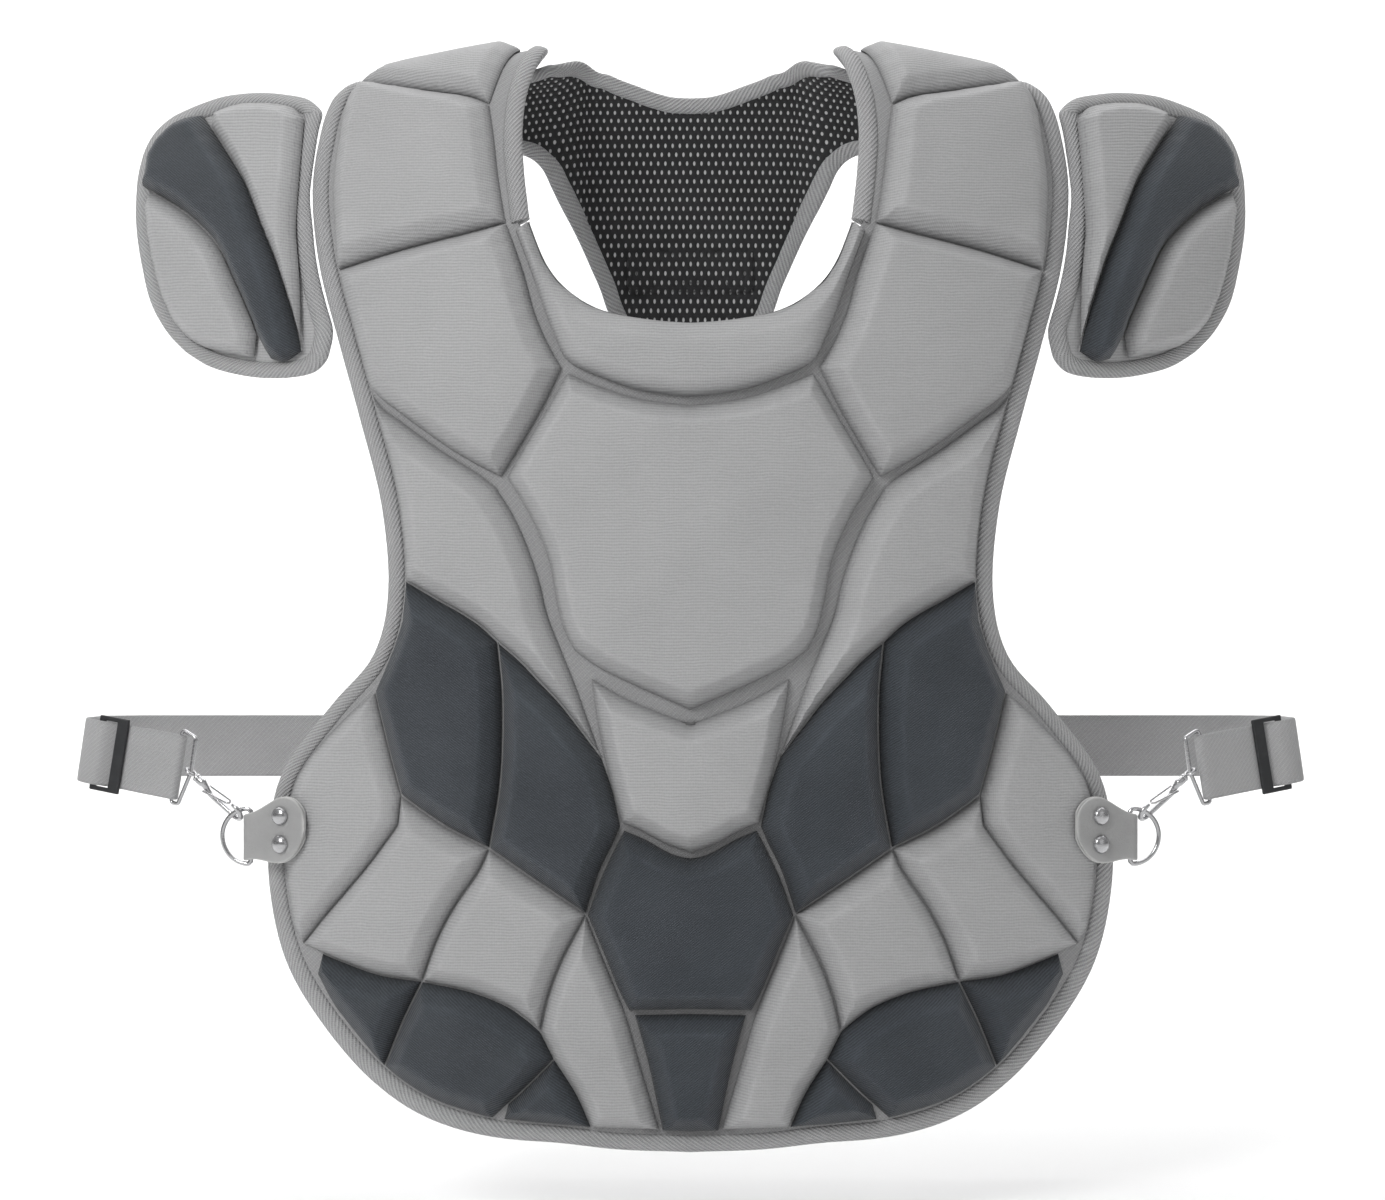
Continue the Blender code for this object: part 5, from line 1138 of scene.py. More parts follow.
@dataclass
class Pad:
    """A sewn foam cell: a grid between four seams, flat below, that rises over a slope to a flat or a round top."""

    name: str
    form: BodyForm | CapForm
    sides: list[Array]
    height: float
    finish: Cloth
    layout: Layout = Layout.CELL
    lift: float = 0.0008
    seam_half: float = 0.00045
    bevel: float = 0.0085
    crease_softness: float = 0.12
    lip: float = 0.0007
    pucker: float = 0.00055
    wave: float = 0.00065
    stitch_in: float = 0.0017
    stitch_pitch: float = 0.0044
    seed: float = 0.0
    rim: Array | None = None
    rim_clear: float = 0.0099
    spacing: float = 0.0015
    cells: tuple[int, int] = (34, 84)
    bevel_most: float = 0.62
    roll_reach: float = 0.9
    shares: tuple[float, float, float] = (0.15, 0.72, 0.13)
    thread: float = 0.00045
    stitch_mark: float = 0.7
    seam_reach: float = 0.0016
    crease_half: float = 0.0011
    fold_pitch: float = 0.011
    # length of the unevenness of the painted highlight along the crease
    highlight_pitch: float = 0.03
    wave_pitches: tuple[float, float] = (0.052, 0.047)
    wave_slant: float = 0.4

    def grid(self) -> Array:
        """The pad's places on its form: each point blends the two pairs of opposite seams.

        Returns:
            Pairs by row and column.
        """
        lengths = [np.sum(np.linalg.norm(np.diff(side, axis=0), axis=1)) for side in self.sides]
        rows = int(np.clip(max(lengths[0], lengths[2]) / self.spacing, *self.cells))
        columns = int(np.clip(max(lengths[1], lengths[3]) / self.spacing, *self.cells))
        steps = [edge_steps(rows), edge_steps(columns)]
        first, second = spaced(self.sides[0], steps[0]), spaced(self.sides[1], steps[1])
        third, fourth = spaced(self.sides[2], 1 - steps[0][::-1]), spaced(self.sides[3], 1 - steps[1][::-1])
        ring = inset_ring(np.vstack([first[:-1], second[:-1], third[:-1], fourth[:-1]]), self.seam_half)
        if self.rim is not None:
            ring = clear_of(ring, self.rim, self.rim_clear)
        ring = looped(ring)
        cuts = np.cumsum([0, rows - 1, columns - 1, rows - 1, columns - 1])
        first, second, third, fourth = (ring[a:b + 1] for a, b in zip(cuts[:-1], cuts[1:]))
        third, fourth = third[::-1], fourth[::-1]
        s, t = steps[0][:, None, None], steps[1][None, :, None]
        grid = (1 - t) * first[:, None] + t * third[:, None] + (1 - s) * fourth[None] + s * second[None]
        corners = (1 - s) * (1 - t) * first[0] + s * (1 - t) * first[-1] + (1 - s) * t * third[0] + s * t * third[-1]
        return self.relaxed(grid - corners)

    def relaxed(self, grid: Array, rounds: int = 60, pull: float = 0.15) -> Array:
        """Evens the grid out: each inner point moves part of the way to the mean of its four neighbours.

        Args:
            grid: Pairs by row and column.
            rounds: How many times.
            pull: The part of the way.

        Returns:
            The evened grid.
        """
        drawn = grid.copy()
        for _ in range(rounds):
            mean = (drawn[:-2, 1:-1] + drawn[2:, 1:-1] + drawn[1:-1, :-2] + drawn[1:-1, 2:]) / 4
            drawn[1:-1, 1:-1] += pull * (mean - drawn[1:-1, 1:-1])
        return drawn

    def profile(self, distance: Array) -> Array:
        """Height as a share: a quick round lip, a straight slope with a soft crease at its top, and a slight dome.

        Args:
            distance: Distances from the seams.

        Returns:
            Shares of the pad's height.
        """
        far = max(float(distance.max()), 1e-6)
        dome = 1 - (1 - limited(distance / far)) ** 2
        if self.layout is Layout.ROLL:
            share = limited(distance / (self.roll_reach * far))
            return np.sqrt(np.maximum(1 - (1 - share) ** 2, 0.0))
        share = distance / min(self.bevel, self.bevel_most * far)
        soft = self.crease_softness
        slope = (share + 1 - np.sqrt((share - 1) ** 2 + soft**2)) / 2
        start = (1 - math.sqrt(1 + soft**2)) / 2
        slope = limited(slope - start * (1 - limited(share)))
        lip = 1 - np.exp(-distance / self.lip)
        return self.shares[0] * lip + self.shares[1] * slope + self.shares[2] * dome

    def mesh(self) -> Mesh:
        """The pad's closed mesh with its marks: painted shade near a seam, with its stitches, and a painted highlight
        along the crease at the top of the slope.
        """
        grid = self.grid()
        border = border_of(grid)
        distance, _, along = nearest(grid.reshape(-1, 2), border)
        distance, along = distance.reshape(grid.shape[:2]), along.reshape(grid.shape[:2])
        across, down = grid[..., 0], grid[..., 1]
        bevel = min(self.bevel, self.bevel_most * float(distance.max()))
        near = bell(distance, 0.55 * bevel, 0.45 * bevel)
        folds = self.pucker * near * ripple(along, self.fold_pitch, self.seed)
        long_wave = ripple(across + self.wave_slant * down, self.wave_pitches[0], self.seed + 1.0)
        broad = self.wave * long_wave * ripple(down, self.wave_pitches[1], self.seed)
        out = self.height * self.profile(distance) + folds + broad * limited(distance / bevel)
        out = np.where(distance < ON_EDGE, 0.0, np.maximum(out, 0.0))
        top = raised(self.form.base, across, down, self.lift + out)
        bottom = raised(self.form.base, across, down, np.full(across.shape, self.lift))
        sewn = np.sin(2 * math.pi * along / self.stitch_pitch) > 0
        stitch = self.stitch_mark * bell(distance, self.stitch_in, self.thread) * sewn
        marks = {
            "seam": np.maximum(np.exp(-distance / self.seam_reach), stitch),
            "crease": bell(distance, bevel, self.crease_half) * (0.6 + 0.4 * ripple(along, self.highlight_pitch, self.seed)),
        }
        return grid_mesh(top, bottom, self.form.cloth(across, down), marks)


@dataclass
class PadSet:
    """All sewn pads: on each side of the front, across its middle, over the ridges and on the caps."""

    body: BodyForm
    cap: CapForm
    ridge_height: float = 0.0075
    cap_lift: float = 0.0023
    bevel: float = 0.0088
    small_bevel: float = 0.0075
    cap_bevel: float = 0.006
    small: tuple[str, ...] = ("flank_pad", "hem_inner", "groin_pad")
    side_seed: float = 1.7
    ridge_seed: float = 40.0
    centre_seed: float = 50.0
    cap_seed: float = 60.0
    fill: float = 0.8

    def seats(self, form: BodyForm | CapForm, lines: dict, parts: Sequence) -> list[Array]:
        """The four sides of a pad on its form."""
        return [form.seat(chain(lines, part)) for part in parts]

    def centre_sides(self, top: str, edge: str, foot: str) -> list[Array]:
        """The four sides of a pad across the middle, from its halves and their mirror images.

        Args:
            top: Names of the top's half lines.
            edge: Names of the side's lines.
            foot: Names of the foot's half lines.

        Returns:
            The four sides.
        """
        halves = []
        for names in (top, foot):
            half = chain(LINES, names)
            half = half if half[0, 0] > half[-1, 0] else half[::-1]
            halves.append(self.body.seat(np.vstack([half, half[-2::-1] * FLIP])))
        edge = self.body.seat(chain(LINES, edge))
        return [halves[0], edge * FLIP, halves[1][::-1], edge[::-1]]

    def build(self, rim: Array) -> None:
        """Builds every pad and lays it on its form.

        Args:
            rim: The panel's outer edge, which the binding covers.
        """
        for number, (name, (finish, height, *parts)) in enumerate(SIDE_PADS.items()):
            bevel = self.small_bevel if name in self.small else self.bevel
            pad = Pad(name, self.body, self.seats(self.body, LINES, parts), height, FINISHES[finish], rim=rim,
                      seed=number * self.side_seed, bevel=bevel)
            self.both_sides(pad)
        scale = np.array([self.body.half_width, self.body.shoulder_run])
        seam = self.body.seat(smooth_line(LINES["shoulder_seam"]))
        neck = smooth_line(np.vstack([seam[-1:], np.array(RIDGE_NECK) * scale]))
        arm = smooth_line(np.vstack([np.array(RIDGE_ARM) * scale, seam[:1]]))
        sides = [seam, neck, np.vstack([neck[-1:], arm[:1]]), arm]
        self.both_sides(Pad("shoulder_top", self.body, sides, self.ridge_height, GREY, rim=rim,
                            seed=self.ridge_seed, bevel=Pad.bevel))
        for number, (name, (finish, height, *parts)) in enumerate(CENTRE_PADS.items()):
            layout = Layout.ROLL if name == "neck_band" else Layout.CELL
            pad = Pad(name, self.body, self.centre_sides(*parts), height, FINISHES[finish], layout,
                      seed=self.centre_seed + number)
            pad.mesh().piece(name + "_cover", pad.finish, name, fill=self.fill)
        for number, (name, (finish, height, *parts)) in enumerate(CAP_PADS.items()):
            pad = Pad(name, self.cap, self.seats(self.cap, CAP_LINES, parts), height, FINISHES[finish],
                      lift=self.cap_lift, seed=self.cap_seed + number, bevel=self.cap_bevel)
            self.both_sides(pad)

    def both_sides(self, pad: Pad) -> None:
        """Makes a pad on the left and its mirror image on the right."""
        mesh = pad.mesh()
        for word, side in SIDES.items():
            mesh.piece(f"{pad.name}_{word}_cover", pad.finish, f"{pad.name}_{word}", side, fill=self.fill)


@dataclass
class Panel:
    """The panel that carries the pads, and the tape that binds its edge."""

    body: BodyForm
    thick: float = 0.004
    tape_width: float = 0.0092
    tape_thick: float = 0.0075
    tape_middle: float = -0.0018
    tuck: float = 0.003
    neck_inset: float = 0.0014
    neck_taper: int = 14
    cell: float = 0.0075
    quilt: float = 0.0005
    seam_shade: float = 0.3
    belly_start: float = 0.69
    belly_soft: float = 0.02

    def ring(self) -> tuple[Array, int, int]:
        """The panel's outline all round, and where its tape starts and ends.

        Returns:
            Pairs from the middle of the neck, and the two places in them.
        """
        back = np.array(BACK_EDGE) * np.array([self.body.half_width, -self.body.strap_back])
        half = np.vstack([self.body.seat(NECK_EDGE), back, self.body.seat(ARM_EDGE + HEM_EDGE)])
        half = spline(half, 6)
        ring = np.vstack([half, half[-2:0:-1] * FLIP])
        first = 6 * NECK_BOUND
        return ring, first, len(ring) - first

    def build(self) -> None:
        """Fills the outline with fine cells, front and back, and runs the tape round its edge."""
        ring, first, last = self.ring()
        place = np.arange(len(ring))
        from_neck = np.minimum(place, len(ring) - place)
        bound = limited((from_neck - first + self.neck_taper) / self.neck_taper)
        rim = inset_ring(ring, self.neck_inset + (self.tape_width - self.tuck - self.neck_inset) * bound)[::3]
        low, high = rim.min(axis=0), rim.max(axis=0)
        counts = np.round((high - low) / self.cell).astype(int)
        across, down = np.meshgrid(*(np.linspace(low[k], high[k], counts[k] + 1) for k in (0, 1)), indexing="ij")
        flat = beside(across.ravel(), down.ravel())
        flat = flat[inside(flat, rim)]
        flat = flat[nearest(flat, looped(rim))[0] > self.cell * 0.35]
        loop = [(i, (i + 1) % len(rim)) for i in range(len(rim))]
        points = [Vector(pair) for pair in np.vstack([rim, flat]).tolist()]
        points, _, triangles, *_ = delaunay_2d_cdt(points, loop, [], 1, ON_EDGE)
        flat = np.array([point[:] for point in points])
        count = len(flat)
        reach = nearest(flat, looped(rim))[0]
        quilt = self.quilt * ripple(flat[:, 1], 0.06, 2.0) * limited(reach / 0.01)
        front = raised(self.body.base, flat[:, 0], flat[:, 1], np.zeros(count))
        back = raised(self.body.base, flat[:, 0], flat[:, 1], -self.thick + quilt)
        top = np.array([tuple(face) for face in triangles])
        edges = np.vstack([top[:, [0, 1]], top[:, [1, 2]], top[:, [2, 0]]])
        runs = set(map(tuple, edges.tolist()))
        open_runs = np.array(sorted(run for run in runs if run[::-1] not in runs))
        wall = beside(open_runs[:, 1], open_runs[:, 0], open_runs[:, 0] + count, open_runs[:, 1] + count)
        faces = [np.vstack([top, top[:, ::-1] + count]), wall]
        cloth = np.vstack([self.body.cloth(flat[:, 0], flat[:, 1])] * 2)
        share = np.abs(flat[:, 0]) / self.body.half_width
        fall = self.body.peak - self.body.ridge(flat[:, 0]) + np.interp(flat[:, 1], self.body.run, self.body.drop)
        fall = fall / self.body.height
        edge = np.interp(fall, *np.array(BELLY_EDGE).T)
        belly = limited((edge - share) / self.belly_soft + 0.5) * (fall > self.belly_start)
        # The seam mark: painted shade on the front, seen in the channels between the pads, and made darker over the
        # dark middle; painted shade on the back, along the edge under the tape
        seam = [self.seam_shade + (1 - self.seam_shade) * belly, np.exp(-reach / 0.004) * 0.5]
        marks = {"seam": np.concatenate(seam), "crease": np.zeros(2 * count)}
        mesh = Mesh(np.vstack([front, back]), faces, [cloth[block] for block in faces], marks)
        mesh.piece("chest_panel_lining", LINING, "chest_panel")
        inner = inset_ring(ring, self.tape_width)
        bound = slice(first - 1, last + 2)
        tape = Tape(self.body.base, ring[bound], inner[bound], self.tape_middle, self.tape_thick)
        tape.mesh().piece("panel_binding_tape", TAPE, "panel_binding")


@dataclass
class Tape:
    """A folded tape over an edge: a rounded section between an outer and an inner line that run side by side."""

    base: Surface
    outer: Array
    inner: Array
    middle: float
    thick: float
    sides: int = 22
    closed: bool = False
    power: float = 2.6
    lumps: float = 0.035
    lump_pitch: float = 0.013
    notch: float = 0.1
    stitch_at: float = 0.8
    stitch_pitch: float = 0.0042

    def mesh(self) -> Mesh:
        """Carries the section along: a flattened oval whose corners follow a power of sine and cosine.

        Returns:
            The mesh.
        """
        angle = np.arange(self.sides) * 2 * math.pi / self.sides
        wide = np.sign(np.cos(angle)) * np.abs(np.cos(angle)) ** (2 / self.power)
        tall = np.sign(np.sin(angle)) * np.abs(np.sin(angle)) ** (2 / self.power)
        share = 0.5 + 0.5 * wide
        tall = tall * (0.30 + 0.20 * limited(share * 1.8))
        along = length_at(self.outer)
        lump = 1 - self.lumps + self.lumps * ripple(along, self.lump_pitch, 1.0)
        notch = self.notch * bell(share, self.stitch_at, 0.06)
        line = self.outer[:, None] * (1 - share[None, :, None]) + self.inner[:, None] * share[None, :, None]
        lift = self.middle + tall * (1 - notch) * self.thick * lump[:, None]
        rings = raised(self.base, line[..., 0], line[..., 1], lift)
        # Marks: painted shade along the inner edge, where the tape meets what it binds, darker stitches, and a painted
        # highlight in a band on each face
        seam = np.broadcast_to(bell(share, 1.0, 0.10), lift.shape)
        sewn = np.sin(along * 2 * math.pi / self.stitch_pitch) > -0.2
        stitch = 0.75 * bell(share, self.stitch_at, 0.035)[None] * sewn[:, None]
        crease = np.broadcast_to(bell(share, 0.35, 0.2) * 0.5, lift.shape)
        return swept_mesh(rings, self.closed, {"seam": np.maximum(seam, stitch), "crease": crease})


@dataclass
class Yoke:
    """The yoke behind the neck: net cloth over foam, with a stitched patch, and the tape round it."""

    body: BodyForm
    thick: float = 0.006
    drop: float = -0.0095
    rise: float = 0.0085
    tape_width: float = 0.0092
    tuck: float = 0.003
    patch_half: float = 0.031
    patch_top: float = -0.0812
    patch_foot: float = -0.1018
    step_start: float = 0.24
    step_run: float = 0.09
    columns: int = 72
    stitch_in: float = 0.0042

    def level(self, across: Array) -> Array:
        """Height of the yoke's middle over the body: a smooth step from under the straps to behind the neck."""
        share = limited((np.abs(across) / self.body.half_width - self.step_start) / self.step_run)
        return self.drop + self.rise * (1 - eased(share))

    def base(self, across: Array, down: Array) -> Array:
        """The surface in which the yoke's middle lies."""
        return raised(self.body.base, across, down, self.level(across))

    def patch(self, across: Array, level: Array) -> Array:
        """Distance inside the patch's outline, negative outside: the least of the four distances to its sides."""
        return np.minimum.reduce([self.patch_half - np.abs(across), self.patch_top - level, level - self.patch_foot])

    def build(self) -> None:
        """Makes the net cloth from rows between the upper and the lower edge, and the tape."""
        table = np.array(YOKE_ROWS)
        upper = self.body.seat(table[:, 0:2], behind=True)
        lower = self.body.seat(table[:, 2:4], behind=True)
        upper, lower = spline(upper, 6), spline(lower, 6)
        ring = np.vstack([upper, lower[::-1]])
        ring = np.vstack([ring, ring[-2:0:-1] * FLIP])
        inner = inset_ring(ring, self.tape_width)
        tape = Tape(self.base, ring, inner, 0.0, self.thick + 0.001, closed=True)
        tape.mesh().piece("yoke_binding_tape", TAPE, "yoke_binding")
        edge = inset_ring(ring, self.tape_width - self.tuck)
        count = len(upper)
        top = np.vstack([edge[count - 1:0:-1] * FLIP, edge[:count]])
        foot = edge[count:2 * count][::-1]
        foot = np.vstack([foot[:0:-1] * FLIP, foot])
        share = edge_steps(self.columns, 0.5)[None, :, None]
        grid = top[:, None] * (1 - share) + foot[:, None] * share
        across, down = grid[..., 0], grid[..., 1]
        border = border_of(grid)
        reach = nearest(grid.reshape(-1, 2), border)[0].reshape(across.shape)
        level = self.body.base(across, down)[..., 2]
        patch = self.patch(across, level)
        relief = 0.0012 * limited(patch / 0.0015 + 0.5)
        relief -= 0.0016 * bell(patch, -0.0008, 0.0014)
        relief -= 0.0007 * bell(patch, self.stitch_in, 0.0007)
        swell = limited(reach / 0.006)
        swell = self.thick / 2 * (0.45 + 0.55 * np.sqrt(np.maximum(1 - (1 - swell) ** 2, 0)))
        wave = 0.0006 * ripple(across, 0.045, 3.0) * ripple(down, 0.05, 1.0) * limited(reach / 0.01)
        inward = raised(self.base, across, down, -swell - wave - relief)
        outward = raised(self.base, across, down, swell)
        middle = raised(self.base, across, down, np.zeros(across.shape))
        on_edge = (reach < ON_EDGE)[..., None]
        stitch = bell(patch, self.stitch_in, 0.0006) + bell(patch, -0.0006, 0.0008)
        marks = {"seam": np.maximum(np.exp(-reach / 0.002), limited(stitch)), "crease": np.zeros(across.shape)}
        cloth = beside(across, down)
        mesh = grid_mesh(np.where(on_edge, middle, outward), np.where(on_edge, middle, inward), cloth, marks)
        mesh.piece("yoke_net", NET, "yoke_pad", fill=0.5)


@dataclass
class Cap:
    """A shoulder cap's shell and the tape round it."""

    form: CapForm
    thick: float = 0.004
    gap: float = 0.0021
    rim_width: float = 0.0085
    rim_rise: float = 0.0013
    tuck: float = 0.0012
    bevel: float = 0.002
    corner: float = 60.0
    rounds: int = 6
    tape_steps: int = 400

    def build(self) -> None:
        """Makes the shell between its four edges, and a tape along all of them."""
        rim = [self.form.seat(smooth_line(CAP_LINES[name])) for name in ("top", "outer", "foot")]
        down = np.array(CAP_JOINT_DOWN)
        level = self.form.body.peak - down * self.form.body.height
        across = np.interp(-level, -self.form.edge_level, self.form.edge_across) + self.gap
        joint = smooth_line(np.vstack([rim[2][-1:], beside(across, -level), rim[0][:1]]), self.corner)
        shell = Pad("shoulder_cap", self.form, [*rim, joint], self.thick, GREY, seam_half=self.tuck, lift=-self.thick,
                    bevel=self.bevel, pucker=0.0)
        mesh = shell.mesh()
        outline = np.vstack([*(part[:-1] for part in rim), joint[:-1]])
        outline = spaced(looped(outline), np.linspace(0, 1, self.tape_steps))[:-1]
        smooth = outline.copy()
        for _ in range(self.rounds):
            smooth = (np.roll(smooth, 1, axis=0) + 2 * smooth + np.roll(smooth, -1, axis=0)) / 4
        inner = inset_ring(smooth, self.rim_width)
        tape = Tape(self.form.base, smooth, inner, -self.thick / 2, self.thick + 2 * self.rim_rise, closed=True)
        band = tape.mesh()
        for word, side in SIDES.items():
            mesh.piece(f"shoulder_cap_{word}_shell", GREY, f"shoulder_cap_{word}", side, fill=0.3)
            band.piece(f"shoulder_cap_{word}_tape", TAPE, f"shoulder_cap_{word}", side, replaces=False)


@dataclass
class Hardware:
    """Strap, sliders, tabs, rivets, rings, hooks with their gates, and wire loops."""

    body: BodyForm
    web_width: float = 0.034
    web_thick: float = 0.0016
    strap_side: float = 0.3238
    strap_back_y: float = 0.11
    strap_level: float = -0.3512
    strap_yaw: float = math.radians(25)
    strap_lean: float = math.radians(9)
    front_corner: float = 0.014
    back_corner: float = 0.022
    free_end: float = 0.024
    slider_at: float = 0.0305
    slider_bar: float = 0.0068
    slider_slot: float = 0.008
    slider_rail: float = 0.0036
    slider_arm: float = 0.0024
    slider_thick: float = 0.0022
    clearance: float = 0.0005
    tab_at: tuple[float, float] = (1.0075, 0.715)
    tab_length: float = 0.027
    tab_fold_half: float = 0.0115
    tab_end_half: float = 0.0165
    tab_thick: float = 0.0016
    tab_level: float = 0.01
    rivet_radius: float = 0.0048
    rivet_height: float = 0.003
    rivet_in: float = 0.0155
    rivet_apart: float = 0.014
    fit: float = 0.0003
    ring_radius: float = 0.01435
    ring_wire: float = 0.00125
    ring_yaw: float = math.radians(14)
    ring_offset: float = 0.0015
    hook_angle: float = math.radians(60)
    hook_rise: float = math.radians(35)
    hook_sweep: float = math.radians(28)
    hook_reach: float = 0.0347
    hook_roll: float = math.radians(38)
    hook_bend: float = 0.0042
    hook_bar: float = 0.0015
    hook_nose: float = 0.0013
    hook_barrel: float = 0.0023
    eye_radius: float = 0.0029
    eye_wire: float = 0.0009
    loop_wire: float = 0.0011
    gate_wire: float = 0.0006
    gate_half: float = 0.0026
    gate_pivot: tuple[float, float] = (0.0225, -0.002)
    gate_tip: float = 0.0037
    strap_share: float = 0.514
    slider_round: float = 0.0007
    strap_step: float = 0.006

    def __post_init__(self) -> None:
        """Works out where the ring, the hook, the wire loop and the strap's front run lie on the right."""
        at = self.body.seat([self.tab_at])[0]
        self.tab_place = at
        low, middle, high = raised(self.body.base, np.full(3, at[0]), at[1] + np.array([0.005, 0.0, -0.005]),
                                   np.full(3, self.tab_level))
        self.bar = middle
        self.up = unit(high - low)
        self.out = square_to(heading(self.ring_yaw), self.up)
        around = math.cos(self.hook_angle) * self.out + math.sin(self.hook_angle) * self.up
        self.held = middle + self.out * self.ring_offset + around * self.ring_radius
        level = math.cos(self.hook_rise)
        self.to_eye = np.array([
            level * math.cos(self.hook_sweep), level * math.sin(self.hook_sweep), math.sin(self.hook_rise),
        ])
        wire = -math.sin(self.hook_angle) * self.out + math.cos(self.hook_angle) * self.up
        through = square_to(wire, self.to_eye)
        across = np.cross(through, self.to_eye)
        across = across if across[1] < 0 else -across
        upwards = square_to(self.up, self.to_eye)
        turned = [
            across * math.cos(self.hook_roll) + turn * np.cross(self.to_eye, across) * math.sin(self.hook_roll)
            for turn in (1, -1)
        ]
        self.across = max(turned, key=lambda way: float(np.dot(way, upwards)))
        self.through = np.cross(self.to_eye, self.across)
        self.eye = self.held + self.to_eye * self.hook_reach
        side = np.array([-math.sin(self.strap_lean), 0.0, math.cos(self.strap_lean)])
        self.along = heading(self.strap_yaw)
        away = square_to(self.along, side)
        self.corners = np.array([self.eye + away * a + side * b for a, b in LOOP_CORNERS])
        self.upright = side
        self.middle = self.corners[2] + (self.corners[3] - self.corners[2]) * self.strap_share
        self.front = np.array([math.sin(self.strap_yaw), -math.cos(self.strap_yaw), 0.0])
        self.turn = self.loop_wire + self.clearance + self.web_thick / 2
        self.plate = self.turn + self.web_thick / 2 + self.clearance + self.slider_thick / 2

    def ring(self) -> Mesh:
        """A straight bar inside the tab, round corners and half a circle outside.

        Returns:
            The ring's mesh.
        """
        angles = np.radians(np.linspace(90, -90, 49))[:, None]
        centre = self.bar + self.out * self.ring_offset
        arc = centre + self.ring_radius * (np.cos(angles) * self.out + np.sin(angles) * self.up)
        half = self.ring_radius - self.ring_offset
        bar = self.bar + np.linspace(-1, 1, 24)[:, None] * self.up * half
        return tube(np.vstack([arc, bar]), self.ring_wire, 16, closed=True)

    def hook_point(self, ahead: Array | float, aside: Array | float) -> Array:
        """A point of the hook: ahead towards its eye, and aside from its middle line."""
        return self.held + ahead * self.to_eye + aside * self.across

    def hook(self) -> Mesh:
        """An eye, a barrel, a bar and a nose bent round the ring, as one line with a radius at each point.

        Returns:
            The hook's mesh.
        """
        wire = unit(unit(self.corners[1] - self.corners[0]) - unit(self.corners[-1] - self.corners[0]))
        normal = square_to(wire, self.to_eye)
        eye_across = np.cross(normal, self.to_eye)
        turn = np.radians(np.arange(210, 511, 12))[:, None]
        eye = self.eye + self.eye_radius * (np.cos(turn) * self.to_eye + np.sin(turn) * eye_across)
        end = self.hook_reach - self.eye_radius - self.eye_wire
        table = np.array([
            (end + 0.0004, 0.0, self.eye_wire), (end + 0.0001, 0.0, 0.0014), (end - 0.0003, 0.0, self.hook_barrel),
            (end - 0.0016, 0.0, self.hook_barrel), (end - 0.0018, 0.0, 0.88 * self.hook_barrel),
            (end - 0.0024, 0.0, 0.88 * self.hook_barrel), (end - 0.0026, 0.0, self.hook_barrel),
            (end - 0.0053, 0.0, self.hook_barrel), (end - 0.0060, -0.0002, 0.0020), (end - 0.0072, -0.0008, 0.0017),
            (end - 0.0090, -0.0026, self.hook_bar), (end - 0.0110, -0.0040, self.hook_bar),
            (end - 0.0125, -self.hook_bend, self.hook_bar), (0.006, -self.hook_bend, self.hook_bar),
            (0.003, -self.hook_bend, self.hook_bar), (0.0, -self.hook_bend, self.hook_bar),
        ])
        shank = self.hook_point(table[:, :1], table[:, 1:2])
        turn = np.radians(np.arange(15, 181, 15))[:, None]
        nose = self.held - self.hook_bend * (np.sin(turn) * self.to_eye + np.cos(turn) * self.across)
        tip = self.hook_point(self.gate_tip - 0.0014, self.hook_bend)
        path = np.vstack([eye, shank, nose, tip])
        sizes = np.concatenate([
            np.full(len(eye), self.eye_wire), table[:, 2], np.full(len(nose), self.hook_nose), [0.8 * self.hook_nose],
        ])
        fine = spline(np.column_stack([path, sizes]), 3)
        return tube(fine[:, :3], np.clip(fine[:, 3], self.eye_wire, self.hook_barrel), 16)

    def gate(self) -> Mesh:
        """Two legs of thin wire from the pivot, joined at the tip.

        Returns:
            The gate's mesh.
        """
        level = self.hook_bend - 0.0004
        tip = self.gate_tip + self.gate_wire
        pivot = self.hook_point(*self.gate_pivot)
        leg = self.through * self.gate_half
        knee = self.hook_point(tip + 0.001, level)
        end = self.hook_point(tip, level)
        corners = [pivot + leg, knee + leg * 0.5, end, knee - leg * 0.5, pivot - leg]
        return tube(rounded(corners, (0, 0.0008, 0.0009, 0.0008, 0), fineness=6), self.gate_wire, 10)

    def strap_line(self) -> tuple[Array, Array]:
        """The strap's right half from its free end to the middle of the back: its middle line and its lean.

        Returns:
            Points, and a lean for each.
        """
        over = self.plate + self.slider_thick / 2 + self.clearance + self.web_thick / 2
        slot = self.slider_at + self.slider_bar
        turn = np.radians(np.linspace(0, 180, 17))
        local = np.vstack([
            beside(np.linspace(self.free_end, 0.002, 8), np.full(8, -self.turn)),
            beside(-self.turn * np.sin(turn), -self.turn * np.cos(turn)),
            beside(np.linspace(0.002, slot, 10), np.full(10, self.turn)),
        ])
        share = np.linspace(0, 1, 9)[1:]
        lift = eased(share)
        climb = beside(slot + share * self.slider_slot, self.turn + lift * (over - self.turn))
        local = np.vstack([local, climb])
        start = self.middle + local[:, :1] * self.along + local[:, 1:] * self.front
        corner = start[-1] + self.along * (self.strap_side - start[-1][0]) / self.along[0]
        bend = np.array([start[-1], corner, [self.strap_side, self.strap_back_y, 0], [0, self.strap_back_y, 0]])
        bend[:, 2] = 0.0
        rest = rounded(bend, (0, self.front_corner, self.back_corner, 0))
        route = np.vstack([start[:-1], rest])
        run = length_at(route[:, :2])
        wanted = np.unique(np.concatenate([run, np.arange(0, run[-1], self.strap_step)]))
        wanted = wanted[np.concatenate([[True], np.diff(wanted) > 1e-5])]
        route = beside(*(np.interp(wanted, run, route[:, k]) for k in range(3)))
